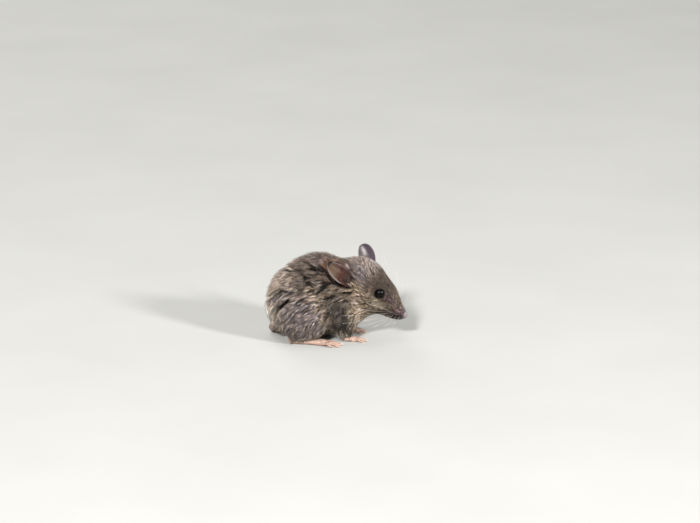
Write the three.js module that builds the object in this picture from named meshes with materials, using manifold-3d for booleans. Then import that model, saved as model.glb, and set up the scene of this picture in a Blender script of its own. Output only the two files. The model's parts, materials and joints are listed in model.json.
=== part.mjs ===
// A field mouse, life size, crouched on its four feet with its head low and its tail laid round behind it.
// Millimetres. +Z is up, +X runs towards the nose and +Y to the animal's left. The outlines include the coat,
// out to the tips of the hairs. Everything is built round a point on the floor under the chest, and the last
// step moves the animal so that the origin is on the floor under the middle of its box.
import * as THREE from "three";
import { ConvexGeometry } from "three/addons/geometries/ConvexGeometry.js";
import { LoftGeometry } from "three/addons/geometries/LoftGeometry.js";
import { ParametricGeometry } from "three/addons/geometries/ParametricGeometry.js";
import { mergeVertices } from "three/addons/utils/BufferGeometryUtils.js";
import Module from "manifold-3d";

const wasm = await Module();
wasm.setup();

// ---------------------------------------------------------------- driving dimensions
const GAP = 0.3; // left between neighbouring pieces
const BODY_BLEND = 3.0; // how softly the masses of the trunk run into each other
const HEAD_BLEND = 2.2;

// The masses of the trunk are ellipsoids: centre, radii, and tilt about Y in degrees, positive nose end down.
const TRUNK = {
  haunch: { at: [-12.3, 0, 14.4], radii: [11.1, 11.2, 12.4], tilt: 24 },
  loin: { at: [-5.9, 0, 18.2], radii: [11.2, 10.2, 11.3], tilt: 10 },
  rump: { at: [-17.2, 0, 10.6], radii: [6.0, 7.6, 5.6], tilt: 0 },
  chest: { at: [2.2, 0, 13.2], radii: [8.4, 8.4, 10.2], tilt: -12 },
  belly: { at: [-5.0, 0, 9.2], radii: [12.0, 8.6, 7.4], tilt: 0 },
};
const NAPE = { from: [-1.5, 0, 18.6], to: [6.0, 0.8, 18.2], radii: [8.2, 7.4] };
const THROAT = { from: [4.0, 0, 13.0], to: [10.0, -0.4, 14.6], radii: [7.2, 5.6] };

// The masses of the left legs that lie in the flank. The right legs are their mirror images.
const THIGH = { at: [-11.8, 8.0, 9.6], radii: [8.0, 4.8, 6.8], tilt: 12 };
const KNEE = { at: [-8.6, 10.0, 9.2], radii: [4.8, 3.0, 5.0], tilt: 20 };
const SHANK = { from: [-8.0, 9.8, 6.6], to: [-14.2, 9.2, 3.4], radii: [3.2, 2.2] };
const SHOULDER = { at: [1.6, 6.4, 12.2], radii: [5.2, 3.8, 6.4], tilt: -8 };
const FOREARM = { from: [1.4, 7.0, 8.2], to: [3.4, 6.0, 2.8], radii: [3.4, 1.7] };

// How much of the flank each leg takes with it.
const HIND_LEG_SHARE = { at: [-11.4, 12.6, 7.6], radii: [9.6, 7.4, 9.6], tilt: 12 };
const FORELEG_SHARE = { from: [1.2, 9.6, 13.4], to: [3.2, 6.8, 1.6], radii: [5.6, 4.0] };

// The head has a frame of its own: from the tip of the nose, x forward, y to its left and z to its crown.
const HEAD = { nose: [23.7, -2.0, 7.0], yaw: -8, pitch: 36, roll: 13 };
const SKULL = {
  crown: { at: [-19.4, 0, 2.2], radii: [9.4, 7.8, 7.2], tilt: 0 },
  brow: { at: [-13.0, 0, 2.8], radii: [6.8, 4.8, 4.4], tilt: 10 },
};
const CHEEK = { at: [-16.2, 3.8, -1.8], radii: [6.4, 4.2, 5.0], tilt: 0 };
const MUZZLE = { from: [-2.7, 0, 0.2], to: [-11.0, 0, 1.6], radii: [2.35, 4.7] };
const JAW = { from: [-4.8, 0, -1.8], to: [-14.0, 0, -3.1], radii: [1.5, 3.3] };
const NOSE = { at: [-1.0, 0, 0.5], radii: [1.15, 1.45, 1.1], tilt: 0 };
const EYE = { at: [-12.9, 4.3, 4.3], radius: 1.95 };

// The neck is the slice between two planes, each through a point [x, z] of the throat and one of the nape.
const NECK_CUTS = {
  head: { throat: [10.8, 9.6], nape: [5.6, 27.0] },
  trunk: { throat: [8.4, 5.2], nape: [0.8, 28.0] },
};

// Each ear is a cupped leaf, widest half way up. The cups are the arcs, in degrees, that its width runs round
// at the root and at the tip, and the lean is how far the tip curls over. An ear's root, the direction it
// grows in and the direction it opens to are in the animal's frame.
const EAR = { length: 9.6, width: 8.4, rootWidth: 4.3, thickness: 0.7, rootCup: 190, tipCup: 60, lean: 1.7 };
const EAR_RIGHT = { root: [3.7, -8.3, 20.6], along: [-0.8, 0.07, 0.59], opening: [0.48, -0.5, 0.72] };
const EAR_LEFT = { root: [10.7, 5.4, 23.0], along: [-0.44, 0.64, 0.64], opening: [0.74, 0.6, -0.1] };

// Feet: the left ones are given, from the heel to the ball, and the toes fan out from the ball.
const HIND_FOOT = {
  heel: [-15.2, 8.6],
  ball: [-4.6, 10.6],
  radii: [1.35, 1.6],
  heights: [1.15, 1.05],
  toes: [3.6, 5.4, 5.8, 5.4, 3.4],
  fan: 46,
  toeRadius: 0.62,
};
const FOREPAW = {
  heel: [3.2, 5.8],
  ball: [6.0, 5.6],
  radii: [1.2, 1.35],
  heights: [1.0, 0.9],
  toes: [2.4, 3.4, 3.4, 2.5],
  fan: 62,
  toeRadius: 0.5,
};
const CLAW = { length: 1.3, radius: 0.3 };

// The tail: control points of its centre line on the floor, and its radii at the root and the tip.
const TAIL = {
  path: [
    [-18.6, 0.4, 6.2],
    [-20.8, 1.6, 4.0],
    [-22.0, 4.8, 2.2],
    [-21.0, 9.6, 1.6],
    [-17.0, 14.0, 1.21],
    [-11.2, 16.4, 1.08],
    [-5.6, 17.2, 0.97],
    [-1.4, 17.9, 0.89],
    [1.3, 19.9, 0.83],
    [0.6, 22.6, 0.78],
    [-3.4, 23.9, 0.7],
    [-8.8, 23.9, 0.61],
    [-14.2, 22.6, 0.51],
    [-18.6, 20.8, 0.41],
  ],
  radii: [1.75, 0.45],
  taper: 0.8,
  pieces: ["tail_root", "tail_middle", "tail_tip"],
};

// How finely each surface is drawn: rows of triangles along an edge of the ball it is wrapped from, or the
// sides and rows of a grid.
const ROWS = { body: 7, neck: 6, head: 8, nose: 2, legCut: 3 };
const GRID = { eye: [12, 8], ear: [18, 8], bone: [6, 3], claw: [4, 2] };
const TAIL_RING = 8;
const TAIL_STEP = 2.4;

// ---------------------------------------------------------------- materials
const material = (color, roughness) => new THREE.MeshStandardMaterial({ color, roughness, metalness: 0 });
const COAT = material(0x7d6a58, 0.95);
const BARE_SKIN = material(0xb08a80, 0.6);
const NOSE_LEATHER = material(0xa86f6c, 0.45);
const EYE_BLACK = material(0x060505, 0.05);

// ---------------------------------------------------------------- small helpers
const radians = THREE.MathUtils.degToRad;
const lerp = THREE.MathUtils.lerp;
const vector = (list) => new THREE.Vector3(...list);
const mirrored = ([x, y, ...rest]) => [x, -y, ...rest];
const SIDES = { left: 1, right: -1 };
const UP = new THREE.Vector3(0, 0, 1);

// A shape given for the left side, moved to the wanted side.
function onSide(shape, side) {
  if (side > 0) return shape;
  const flip = { ...shape };
  for (const key of ["at", "from", "to", "heel", "ball"]) if (shape[key]) flip[key] = mirrored(shape[key]);
  return flip;
}
const onBothSides = (make, shape) => Object.values(SIDES).map((side) => make(onSide(shape, side)));

// ---------------------------------------------------------------- soft masses as distance functions
function ellipsoid({ at, radii, tilt }) {
  const toOwn = new THREE.Matrix4().makeRotationY(radians(tilt)).setPosition(...at).invert();
  const r = vector(radii);
  return (point) => {
    const scaled = point.clone().applyMatrix4(toOwn).divide(r);
    const reach = scaled.length();
    return (reach * (reach - 1)) / Math.max(scaled.divide(r).length(), 1e-6);
  };
}

function limb({ from, to, radii }) {
  const start = vector(from);
  const axis = vector(to).sub(start);
  return (point) => {
    const share = THREE.MathUtils.clamp(point.clone().sub(start).dot(axis) / axis.lengthSq(), 0, 1);
    return point.distanceTo(start.clone().addScaledVector(axis, share)) - lerp(radii[0], radii[1], share);
  };
}

// The masses together, with a fillet of the given softness where they meet.
function blend(masses, softness) {
  return (point) =>
    masses.reduce((joined, mass) => {
      const distance = mass(point);
      const overlap = Math.max(softness - Math.abs(joined - distance), 0) / softness;
      return Math.min(joined, distance) - (overlap * overlap * softness) / 4;
    }, Infinity);
}

const grown = (mass, by) => (point) => mass(point) - by;

// ---------------------------------------------------------------- closed meshes and solids
function solidOf(geometry) {
  const bare = new THREE.BufferGeometry().setAttribute("position", geometry.getAttribute("position"));
  if (geometry.index) bare.setIndex(geometry.index);
  const merged = mergeVertices(bare, 1e-4);
  return new wasm.Manifold(
    new wasm.Mesh({
      numProp: 3,
      vertProperties: new Float32Array(merged.getAttribute("position").array),
      triVerts: new Uint32Array(merged.index.array),
    }),
  );
}

function geometryOf(solid) {
  const { vertProperties, triVerts } = solid.getMesh();
  return new THREE.BufferGeometry()
    .setAttribute("position", new THREE.BufferAttribute(vertProperties, 3))
    .setIndex(new THREE.BufferAttribute(triVerts, 1));
}

// A ball drawn in from far away, straight towards the centre, until each of its points lies on the mass.
// Stretch gives the ball more points along the mass's long direction.
function wrap(mass, centre, detail, turn = new THREE.Matrix4(), stretch = [1, 1, 1]) {
  const START = 70;
  const CAUTION = 0.7; // of the distance, because blended masses only bound it
  const CLOSE = 1e-3;
  const ball = new THREE.IcosahedronGeometry(1, detail);
  const points = ball.getAttribute("position");
  const ray = new THREE.Ray(centre);
  const spot = new THREE.Vector3();
  for (let i = 0; i < points.count; i++) {
    spot.fromBufferAttribute(points, i).multiply(vector(stretch));
    ray.direction.copy(spot.transformDirection(turn));
    let reach = START;
    for (let distance = 1; Math.abs(distance) > CLOSE && reach > 0; reach -= distance * CAUTION) {
      distance = mass(ray.at(reach, spot));
    }
    points.setXYZ(i, ...ray.at(reach, spot));
  }
  return solidOf(ball);
}

// Everything on one side of a plane, given by a point and the direction that is kept.
function halfSpace(point, direction) {
  const SIZE = 200;
  const box = new THREE.BoxGeometry(SIZE, SIZE, SIZE).translate(0, 0, SIZE / 2);
  const turn = new THREE.Quaternion().setFromUnitVectors(UP, direction.clone().normalize());
  return solidOf(box.applyQuaternion(turn).translate(...point));
}

const floorUp = halfSpace(new THREE.Vector3(), UP);
const mouse = new THREE.Group();

function add(name, solid, look) {
  const mesh = new THREE.Mesh(geometryOf(solid), look);
  mesh.name = name;
  mouse.add(mesh);
}

// ---------------------------------------------------------------- the head's frame
const headTurn = new THREE.Matrix4().makeRotationFromEuler(
  new THREE.Euler(radians(HEAD.roll), radians(HEAD.pitch), radians(HEAD.yaw), "ZYX"),
);
const headPlace = headTurn.clone().setPosition(...HEAD.nose);
const toHead = headPlace.clone().invert();
const inHead = (mass) => (point) => mass(point.clone().applyMatrix4(toHead));
const headPoint = (list) => vector(list).applyMatrix4(headPlace);

// ---------------------------------------------------------------- flesh and coat as one mass
const skullMasses = [...Object.values(SKULL).map(ellipsoid), ...onBothSides(ellipsoid, CHEEK)];
const headMass = inHead(blend([...skullMasses, limb(MUZZLE), limb(JAW)], HEAD_BLEND));
const neckMasses = [NAPE, THROAT].map(limb);
const headAndNeck = blend([...neckMasses, headMass], BODY_BLEND);
const fleshMass = blend(
  [
    ...Object.values(TRUNK).map(ellipsoid),
    ...neckMasses,
    ...[THIGH, KNEE, SHOULDER].flatMap((mass) => onBothSides(ellipsoid, mass)),
    ...[SHANK, FOREARM].flatMap((mass) => onBothSides(limb, mass)),
    headMass,
  ],
  BODY_BLEND,
);

// ---------------------------------------------------------------- trunk, neck and head
// What lies ahead of a neck cut, or behind it when the side is -1, less half the gap.
function besideCut({ throat, nape }, side) {
  const forward = new THREE.Vector3(nape[1] - throat[1], 0, throat[0] - nape[0]).normalize();
  const point = new THREE.Vector3(throat[0], 0, throat[1]).addScaledVector(forward, (side * GAP) / 2);
  return halfSpace(point, forward.multiplyScalar(side));
}

const TRUNK_CENTRE = vector([-7, 0, 13]);
const NECK_CENTRE = vector([6.5, 0, 17]);
const HEAD_CENTRE = headPoint([-14.5, 0, 0.5]);
const HEAD_STRETCH = [1.5, 1, 1];

// The trunk keeps its front until the legs have been cut out of it.
const flesh = {
  trunk: wrap(fleshMass, TRUNK_CENTRE, ROWS.body).intersect(floorUp),
  neck: wrap(fleshMass, NECK_CENTRE, ROWS.neck)
    .intersect(besideCut(NECK_CUTS.trunk, 1))
    .intersect(besideCut(NECK_CUTS.head, -1)),
  head: wrap(headAndNeck, HEAD_CENTRE, ROWS.head, headTurn, HEAD_STRETCH).intersect(
    besideCut(NECK_CUTS.head, 1),
  ),
};

function carve(tool, ...names) {
  for (const name of names) flesh[name] = flesh[name].subtract(tool);
}

// ---------------------------------------------------------------- nose and eyes
const noseMass = inHead(ellipsoid(NOSE));
const noseWith = (extra) => wrap(grown(noseMass, extra), headPoint(NOSE.at), ROWS.nose, headTurn);
add("nose", noseWith(0), NOSE_LEATHER);
carve(noseWith(GAP), "head");

for (const [name, side] of Object.entries(SIDES)) {
  const centre = headPoint(onSide(EYE, side).at);
  const ball = (radius) => solidOf(new THREE.SphereGeometry(radius, ...GRID.eye).translate(...centre));
  add(`eye_${name}`, ball(EYE.radius), EYE_BLACK);
  carve(ball(EYE.radius + GAP), "head");
}

// ---------------------------------------------------------------- ears
// A cupped leaf. Across it runs an arc that opens from half a tube at the root to a shallow dish at the tip.
// Once round the arc is one turn of u, out along the back and home in the hollow.
function ear({ root, along, opening }, extra) {
  const CLOSE_END = 0.2; // how far the closed root sticks in beyond the first ring
  const up = vector(along).normalize();
  const out = vector(opening).normalize();
  out.addScaledVector(up, -out.dot(up)).normalize();
  const across = new THREE.Vector3().crossVectors(up, out);
  const frame = new THREE.Matrix4().makeBasis(across, out, up).setPosition(...root);
  const surface = (u, v, target) => {
    const lower = Math.min(2 * v, 1); // 0 to 1 from the root to the widest place
    const upper = Math.max(2 * v - 1, 0); // 0 to 1 from there to the tip
    const rounding = Math.sqrt(1 - upper ** 2);
    const half = (lerp(EAR.rootWidth, EAR.width, Math.sin((lower * Math.PI) / 2)) / 2) * rounding;
    const cup = radians(lerp(EAR.rootCup, EAR.tipCup, Math.sqrt(v))) / 2;
    const radius = half / Math.sin(Math.min(cup, Math.PI / 2));
    const turn = cup * Math.cos(u * 2 * Math.PI);
    const reach = radius + (EAR.thickness / 2 + extra) * Math.sin(u * 2 * Math.PI) * Math.sqrt(rounding);
    target.set(reach * Math.sin(turn), radius - reach * Math.cos(turn) + EAR.lean * v ** 2, v * EAR.length);
    if (v === 0) target.set(0, radius, -CLOSE_END);
    target.applyMatrix4(frame);
  };
  return solidOf(new ParametricGeometry(surface, ...GRID.ear));
}

for (const [name, shape] of Object.entries({ left: EAR_LEFT, right: EAR_RIGHT })) {
  add(`ear_${name}`, ear(shape, 0), BARE_SKIN);
  carve(ear(shape, GAP), "head", "neck", "trunk");
}

// ---------------------------------------------------------------- feet
// The smallest convex solid round two balls, each given by its centre and its radius.
function bar(grid, ...balls) {
  const corners = balls.flatMap(([centre, radius]) => {
    const ball = new THREE.SphereGeometry(radius, ...grid).rotateX(Math.PI / 2).translate(...centre);
    const spots = ball.getAttribute("position");
    return Array.from({ length: spots.count }, (_, i) => new THREE.Vector3().fromBufferAttribute(spots, i));
  });
  return solidOf(new ConvexGeometry(corners));
}

// A sole with its toes fanned out from the ball of the foot, each ending in a claw. Extra thickens all of it.
function foot({ heel, ball, radii, heights, toes, fan, toeRadius }, extra) {
  const TIP_SHARE = 0.8; // a toe's tip is this much of its root in radius and height
  const KNUCKLES_SHARE = 1.5; // the toes spring from a row this many radii of the ball wide
  const back = new THREE.Vector3(...heel, heights[0]);
  const front = new THREE.Vector3(...ball, heights[1]);
  const heading = Math.atan2(front.y - back.y, front.x - back.x);
  const sideways = new THREE.Vector3(-Math.sin(heading), Math.cos(heading), 0);
  let solid = bar(GRID.bone, [back, radii[0] + extra], [front, radii[1] + extra]);
  toes.forEach((length, i) => {
    const share = i / (toes.length - 1) - 0.5;
    const angle = heading + radians(fan) * share;
    const out = new THREE.Vector3(Math.cos(angle), Math.sin(angle), 0);
    const root = front.clone().addScaledVector(sideways, share * radii[1] * KNUCKLES_SHARE).setZ(toeRadius);
    const tip = root.clone().addScaledVector(out, length).setZ(toeRadius * TIP_SHARE);
    const claw = tip.clone().addScaledVector(out, CLAW.length).setZ(CLAW.radius);
    solid = solid
      .add(bar(GRID.bone, [root, toeRadius + extra], [tip, toeRadius * TIP_SHARE + extra]))
      .add(bar(GRID.claw, [tip, CLAW.radius + extra], [claw, CLAW.radius + extra]));
  });
  return solid;
}

// ---------------------------------------------------------------- legs, cut out of the flank
const middleOf = ({ from, to }) => vector(from).lerp(vector(to), 0.5);

function leg(name, share, middle, pawName, pawShape) {
  const cut = (extra) => wrap(grown(share, extra), middle, ROWS.legCut);
  const clearing = foot(pawShape, GAP);
  add(name, flesh.trunk.intersect(cut(0)).subtract(clearing), COAT);
  add(pawName, foot(pawShape, 0).intersect(floorUp), BARE_SKIN);
  carve(cut(GAP).add(clearing), "trunk", "neck");
}

for (const [name, side] of Object.entries(SIDES)) {
  const hind = onSide(HIND_LEG_SHARE, side);
  const fore = onSide(FORELEG_SHARE, side);
  leg(`hind_leg_${name}`, ellipsoid(hind), vector(hind.at), `hind_foot_${name}`, onSide(HIND_FOOT, side));
  leg(`foreleg_${name}`, limb(fore), middleOf(fore), `forepaw_${name}`, onSide(FOREPAW, side));
}

// ---------------------------------------------------------------- tail
// A tapering tube between two shares of the tail's length.
const tailLine = new THREE.CatmullRomCurve3(TAIL.path.map(vector));
function tailPiece(from, to, extra) {
  const steps = Math.ceil(((to - from) * tailLine.getLength()) / TAIL_STEP);
  const sections = Array.from({ length: steps + 1 }, (_, i) => {
    const share = lerp(from, to, i / steps);
    const radius = lerp(TAIL.radii[0], TAIL.radii[1], share ** TAIL.taper) + extra;
    const middle = tailLine.getPointAt(share);
    const heading = tailLine.getTangentAt(share);
    const side = new THREE.Vector3().crossVectors(heading, UP).normalize();
    const top = new THREE.Vector3().crossVectors(side, heading);
    return Array.from({ length: TAIL_RING }, (_, k) => {
      const angle = (2 * Math.PI * (k + 0.5)) / TAIL_RING;
      return middle
        .clone()
        .addScaledVector(side, -Math.cos(angle) * radius)
        .addScaledVector(top, Math.sin(angle) * radius);
    });
  });
  return solidOf(new LoftGeometry(sections, { capStart: true, capEnd: true }));
}
const tailGap = GAP / tailLine.getLength() / 2;
TAIL.pieces.forEach((name, i) => {
  const from = i / TAIL.pieces.length + (i > 0 ? tailGap : 0);
  const to = (i + 1) / TAIL.pieces.length - (i < TAIL.pieces.length - 1 ? tailGap : 0);
  add(name, tailPiece(from, to, 0).intersect(floorUp), BARE_SKIN);
});
carve(tailPiece(0, 1 / TAIL.pieces.length, GAP), "trunk");

flesh.trunk = flesh.trunk.intersect(besideCut(NECK_CUTS.trunk, -1));
for (const [name, solid] of Object.entries(flesh)) add(name, solid, COAT);

// ---------------------------------------------------------------- set down over the origin
const middle = new THREE.Box3().setFromObject(mouse).getCenter(new THREE.Vector3());
mouse.position.set(-middle.x, -middle.y, 0);

export default mouse;
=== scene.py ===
# %% [markdown]
# # A field mouse in meshes
# The real thing is a small furred animal, sitting hunched with its snout near the ground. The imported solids
# give its outline out to the tips of the coat. This lesson makes what shows: one skin that lies inside those
# solids by the depth of the coat, the coat as tufts of solid strands, and the eyes, claws and whiskers.
# Shapes are worked out in millimetres and turned to metres when a piece is finished.

# %% Load the solids
import json
import math

import bmesh
import bpy
import numpy as np
from mathutils import Matrix, Vector
from mathutils.bvhtree import BVHTree
from mathutils.kdtree import KDTree

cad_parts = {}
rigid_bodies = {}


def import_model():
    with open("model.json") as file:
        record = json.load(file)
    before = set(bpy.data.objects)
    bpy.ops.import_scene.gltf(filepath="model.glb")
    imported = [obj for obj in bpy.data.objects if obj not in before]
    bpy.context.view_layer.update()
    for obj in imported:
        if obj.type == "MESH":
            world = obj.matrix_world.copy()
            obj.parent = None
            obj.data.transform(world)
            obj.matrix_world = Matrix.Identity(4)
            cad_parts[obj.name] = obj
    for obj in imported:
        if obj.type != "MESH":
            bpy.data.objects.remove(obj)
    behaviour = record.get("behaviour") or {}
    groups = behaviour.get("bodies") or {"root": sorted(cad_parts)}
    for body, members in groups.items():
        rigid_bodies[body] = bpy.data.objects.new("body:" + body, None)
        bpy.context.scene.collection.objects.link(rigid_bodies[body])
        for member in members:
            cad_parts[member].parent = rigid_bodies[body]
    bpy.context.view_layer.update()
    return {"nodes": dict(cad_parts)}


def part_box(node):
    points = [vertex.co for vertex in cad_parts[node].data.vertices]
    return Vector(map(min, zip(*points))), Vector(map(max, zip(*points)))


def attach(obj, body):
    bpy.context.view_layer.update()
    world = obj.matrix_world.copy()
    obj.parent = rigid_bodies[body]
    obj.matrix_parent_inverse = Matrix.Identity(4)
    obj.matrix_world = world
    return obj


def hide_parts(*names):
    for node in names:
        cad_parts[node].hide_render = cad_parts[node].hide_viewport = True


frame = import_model()
MM = 0.001
SIDES = {"right": -1, "left": 1}
print("solids:", len(frame["nodes"]))

# %% [markdown]
# ## Where things are
# Places are given in millimetres from a datum on the floor, in the animal's middle plane under its shoulders.
# The head is turned and tipped, so its features are easier to place in a frame of its own: x towards the nose,
# y to the animal's left and z up through the crown, from the tip of the nose. The frame could be typed in as
# angles, but three solids that are already in place, the eyes and the nose, fix it without a mistake.

# %% The head's frame
NOSE_IN_HEAD = np.array([-1.0, 0.0, 0.5])
NOSE_FROM_DATUM = np.array([23.15, -2.025, 7.985])
EYE_IN_HEAD = np.array([-12.9, 4.3, 4.3])
LEFT_EYE_SHIFT = np.array([0, -0.5, -0.45])  # in the head's frame: it sits a little deeper than the right one


def unit(vectors):
    vectors = np.asarray(vectors, float)
    return vectors / np.maximum(np.linalg.norm(vectors, axis=-1, keepdims=True), 1e-9)


def centre(node):
    low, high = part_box(node)
    return np.array((low + high) / 2) / MM - DATUM


DATUM = np.zeros(3)
DATUM = centre("nose") - NOSE_FROM_DATUM
DATUM[2] = 0
eyes = {side: centre(f"eye_{side}") for side in SIDES}
face_slope = math.atan2(EYE_IN_HEAD[2] - NOSE_IN_HEAD[2], NOSE_IN_HEAD[0] - EYE_IN_HEAD[0])
head_y = unit(eyes["left"] - eyes["right"])
eyes_to_nose = unit(centre("nose") - (eyes["left"] + eyes["right"]) / 2)
face_normal = np.cross(eyes_to_nose, head_y)
head_x = math.cos(face_slope) * eyes_to_nose + math.sin(face_slope) * face_normal
head_z = math.cos(face_slope) * face_normal - math.sin(face_slope) * eyes_to_nose
head_axes = np.array([head_x, head_y, head_z])
nose_tip = centre("nose") - NOSE_IN_HEAD @ head_axes
eyes["left"] = eyes["left"] + LEFT_EYE_SHIFT @ head_axes


def to_head(points):
    return (points - nose_tip) @ head_axes.T


print("nose tip, mm:", nose_tip.round(2), "snout direction:", head_x.round(2))

# %% [markdown]
# ## Camera, floor and light
# A long lens a little above the animal's back keeps it nearly free of perspective. The light is that of an even
# sky: a wide soft panel overhead, two small panels in front that put the paired glints in the eye, and a low
# one behind that opens the shade under the rump.

# %% The camera
FRAME_WIDTH = 700 * 0.34  # mm across the picture at the animal, 0.34 mm to a pixel
ELEVATION = math.radians(15)
DISTANCE = 1200  # mm from the lens to the animal
SENSOR = 36  # mm
AIM_FROM_EYE = (-10.06, 10.7)  # mm to the right and up from the near eye to the middle of the picture

view_up = np.array([0, math.sin(ELEVATION), math.cos(ELEVATION)])
view_back = np.array([0, -math.cos(ELEVATION), math.sin(ELEVATION)])
aim = eyes["right"] + np.array([AIM_FROM_EYE[0], 0, 0]) + AIM_FROM_EYE[1] * view_up
camera_data = bpy.data.cameras.new("camera")
camera_data.sensor_width = SENSOR
camera_data.lens = SENSOR * DISTANCE / FRAME_WIDTH
camera = bpy.data.objects.new("camera", camera_data)
camera.location = (DATUM + aim + DISTANCE * view_back) * MM
camera.rotation_euler = (math.pi / 2 - ELEVATION, 0, 0)
bpy.context.scene.collection.objects.link(camera)
bpy.context.scene.camera = camera
bpy.context.scene.view_settings.view_transform = "Standard"
print("lens, mm:", round(camera_data.lens, 1))


# %% Colours and nodes
def linear(hex_colour):
    parts = [int(hex_colour[i : i + 2], 16) / 255 for i in (0, 2, 4)]
    return [p / 12.92 if p <= 0.04045 else ((p + 0.055) / 1.055) ** 2.4 for p in parts]


def add_node(tree, kind, links=None, **settings):
    """A node with its settings, and its inputs' values or the sockets that feed them."""
    node = tree.nodes.new(kind)
    for name, value in settings.items():
        setattr(node, name, value)
    for name, value in (links or {}).items():
        if isinstance(value, bpy.types.NodeSocket):
            tree.links.new(value, node.inputs[name])
        else:
            node.inputs[name].default_value = value
    return node


def fill_ramp(node, stops):
    """Set a colour ramp's stops, each a place and either a grey or a hex colour."""
    elements = node.color_ramp.elements
    while len(elements) < len(stops):
        elements.new(0.5)
    for element, (place, value) in zip(elements, stops):
        element.position = place
        element.color = (*linear(value), 1) if isinstance(value, str) else (value, value, value, 1)
    return node.outputs["Color"]


def new_material(name):
    """An empty material, its tree and its Principled shader."""
    material = bpy.data.materials.new(name)
    material.use_nodes = True
    shader = material.node_tree.nodes["Principled BSDF"]
    return material, material.node_tree, shader


print("mid grey in linear light:", np.round(linear("808080"), 3))

# %% The floor
# Rolled matt paint scatters light evenly, so the floor shows soft shadows, no glare and a faint mottle.
FLOOR_HALF = 4.0  # metres, so that it fills the picture from any height
FLOOR_MOTTLE = 60  # mm
floor_mesh = bpy.data.meshes.new("floor")
floor_corners = [(-1, -1), (1, -1), (1, 1), (-1, 1)]
floor_points = [(FLOOR_HALF * x, FLOOR_HALF * y, 0) for x, y in floor_corners]
floor_mesh.from_pydata(floor_points, [], [(0, 1, 2, 3)])
floor = bpy.data.objects.new("floor", floor_mesh)
bpy.context.scene.collection.objects.link(floor)
floor_paint, tree, shader = new_material("matt_floor_paint")
place = add_node(tree, "ShaderNodeTexCoord").outputs["Object"]
mottle = add_node(tree, "ShaderNodeTexNoise", {
    "Vector": place, "Scale": 1 / (FLOOR_MOTTLE * MM), "Detail": 4.0})
paint = fill_ramp(add_node(tree, "ShaderNodeValToRGB", {"Fac": mottle.outputs["Fac"]}),
                  [(0.3, "a8a7a2"), (0.7, "acaba7")])
tree.links.new(paint, shader.inputs["Base Color"])
shader.inputs["Roughness"].default_value = 0.9
floor_mesh.materials.append(floor_paint)
print("floor, m:", 2 * FLOOR_HALF)

# %% The lights
PANELS = {  # where each is, in metres, its width and its power in watts
    "sky": ((-0.25, 0.25, 1.5), 1.3, 9.5),
    "front_left": ((-0.38, -1.24, 0.84), 0.2, 38),
    "front_right": ((1.08, -0.86, 0.53), 0.18, 30),
    "behind": ((-0.5, 1.3, 0.8), 0.7, 9),
}
SKY_COLOUR, SKY_STRENGTH = "dfe3e6", 0.22
for name, (place, width, power) in PANELS.items():
    panel = bpy.data.lights.new(name, "AREA")
    panel.size = width
    panel.energy = power
    light = bpy.data.objects.new(name, panel)
    light.location = place
    light.rotation_euler = Vector(place).to_track_quat("Z", "Y").to_euler()
    bpy.context.scene.collection.objects.link(light)
world = bpy.data.worlds.new("soft_sky")
world.use_nodes = True
background = world.node_tree.nodes["Background"]
background.inputs["Color"].default_value = (*linear(SKY_COLOUR), 1)
background.inputs["Strength"].default_value = SKY_STRENGTH
bpy.context.scene.world = world
print("light panels:", len(PANELS))

# %% [markdown]
# ## The skin
# The skin could be sculpted from a ball, but the solids already hold the animal's shape. So their copies are
# swollen just enough to close the cuts between them, fused by a voxel remesh, and sunk by the coat's depth.


# %% Vertices as arrays
def read(mesh, what="co"):
    values = np.empty(len(mesh.vertices) * 3, np.float32)
    mesh.vertices.foreach_get(what, values)
    return values.reshape(-1, 3).astype(float)


def write(mesh, points):
    mesh.vertices.foreach_set("co", np.asarray(points, np.float32).ravel())
    mesh.update()


def edges_of(mesh):
    pairs = np.empty(len(mesh.edges) * 2, np.int32)
    mesh.edges.foreach_get("vertices", pairs)
    return pairs.reshape(-1, 2)


def smoothed(values, edges, passes, strength=0.5):
    """Each value drawn towards the mean of its neighbours', a number of times."""
    values = np.array(values, float)
    flat = values.reshape(len(values), -1)
    ends = np.concatenate([edges[:, 0], edges[:, 1]])
    others = np.concatenate([edges[:, 1], edges[:, 0]])
    count = np.maximum(np.bincount(ends, minlength=len(flat)), 1)
    strength = np.broadcast_to(strength, len(flat))
    for _ in range(passes):
        for k in range(flat.shape[1]):
            mean = np.bincount(ends, weights=flat[others, k], minlength=len(flat)) / count
            flat[:, k] += strength * (mean - flat[:, k])
    return flat.reshape(values.shape)


print("vertices of the trunk's solid:", len(read(frame["nodes"]["trunk"].data)))


# %% One closed mesh round many parts
def new_object(name, mesh):
    obj = bpy.data.objects.new(name, mesh)
    bpy.context.scene.collection.objects.link(obj)
    return obj


def plain_mesh(obj):
    """What the object's modifiers make, as a mesh, with the object gone."""
    graph = bpy.context.evaluated_depsgraph_get()
    mesh = bpy.data.meshes.new_from_object(obj.evaluated_get(graph))
    bpy.data.objects.remove(obj)
    return mesh


def mesh_of(points, faces):
    mesh = bpy.data.meshes.new("part")
    mesh.from_pydata(np.asarray(points).tolist(), [], [list(map(int, f)) for f in faces], shade_flat=False)
    return mesh


def fused(parts, voxel):
    """One closed mesh round all the (points, faces) parts."""
    starts = np.cumsum([0] + [len(points) for points, _ in parts])
    points = np.concatenate([points for points, _ in parts])
    faces = [[int(i) + start for i in face] for (_, part), start in zip(parts, starts) for face in part]
    obj = new_object("fusing", mesh_of(points, faces))
    remesh = obj.modifiers.new("voxels", "REMESH")
    remesh.mode = "VOXEL"
    remesh.voxel_size = voxel
    remesh.use_smooth_shade = True
    return plain_mesh(obj)


def surface_tree(mesh):
    """A tree that finds the nearest place on a mesh."""
    return BVHTree.FromPolygons(read(mesh).tolist(), [list(p.vertices) for p in mesh.polygons])


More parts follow.
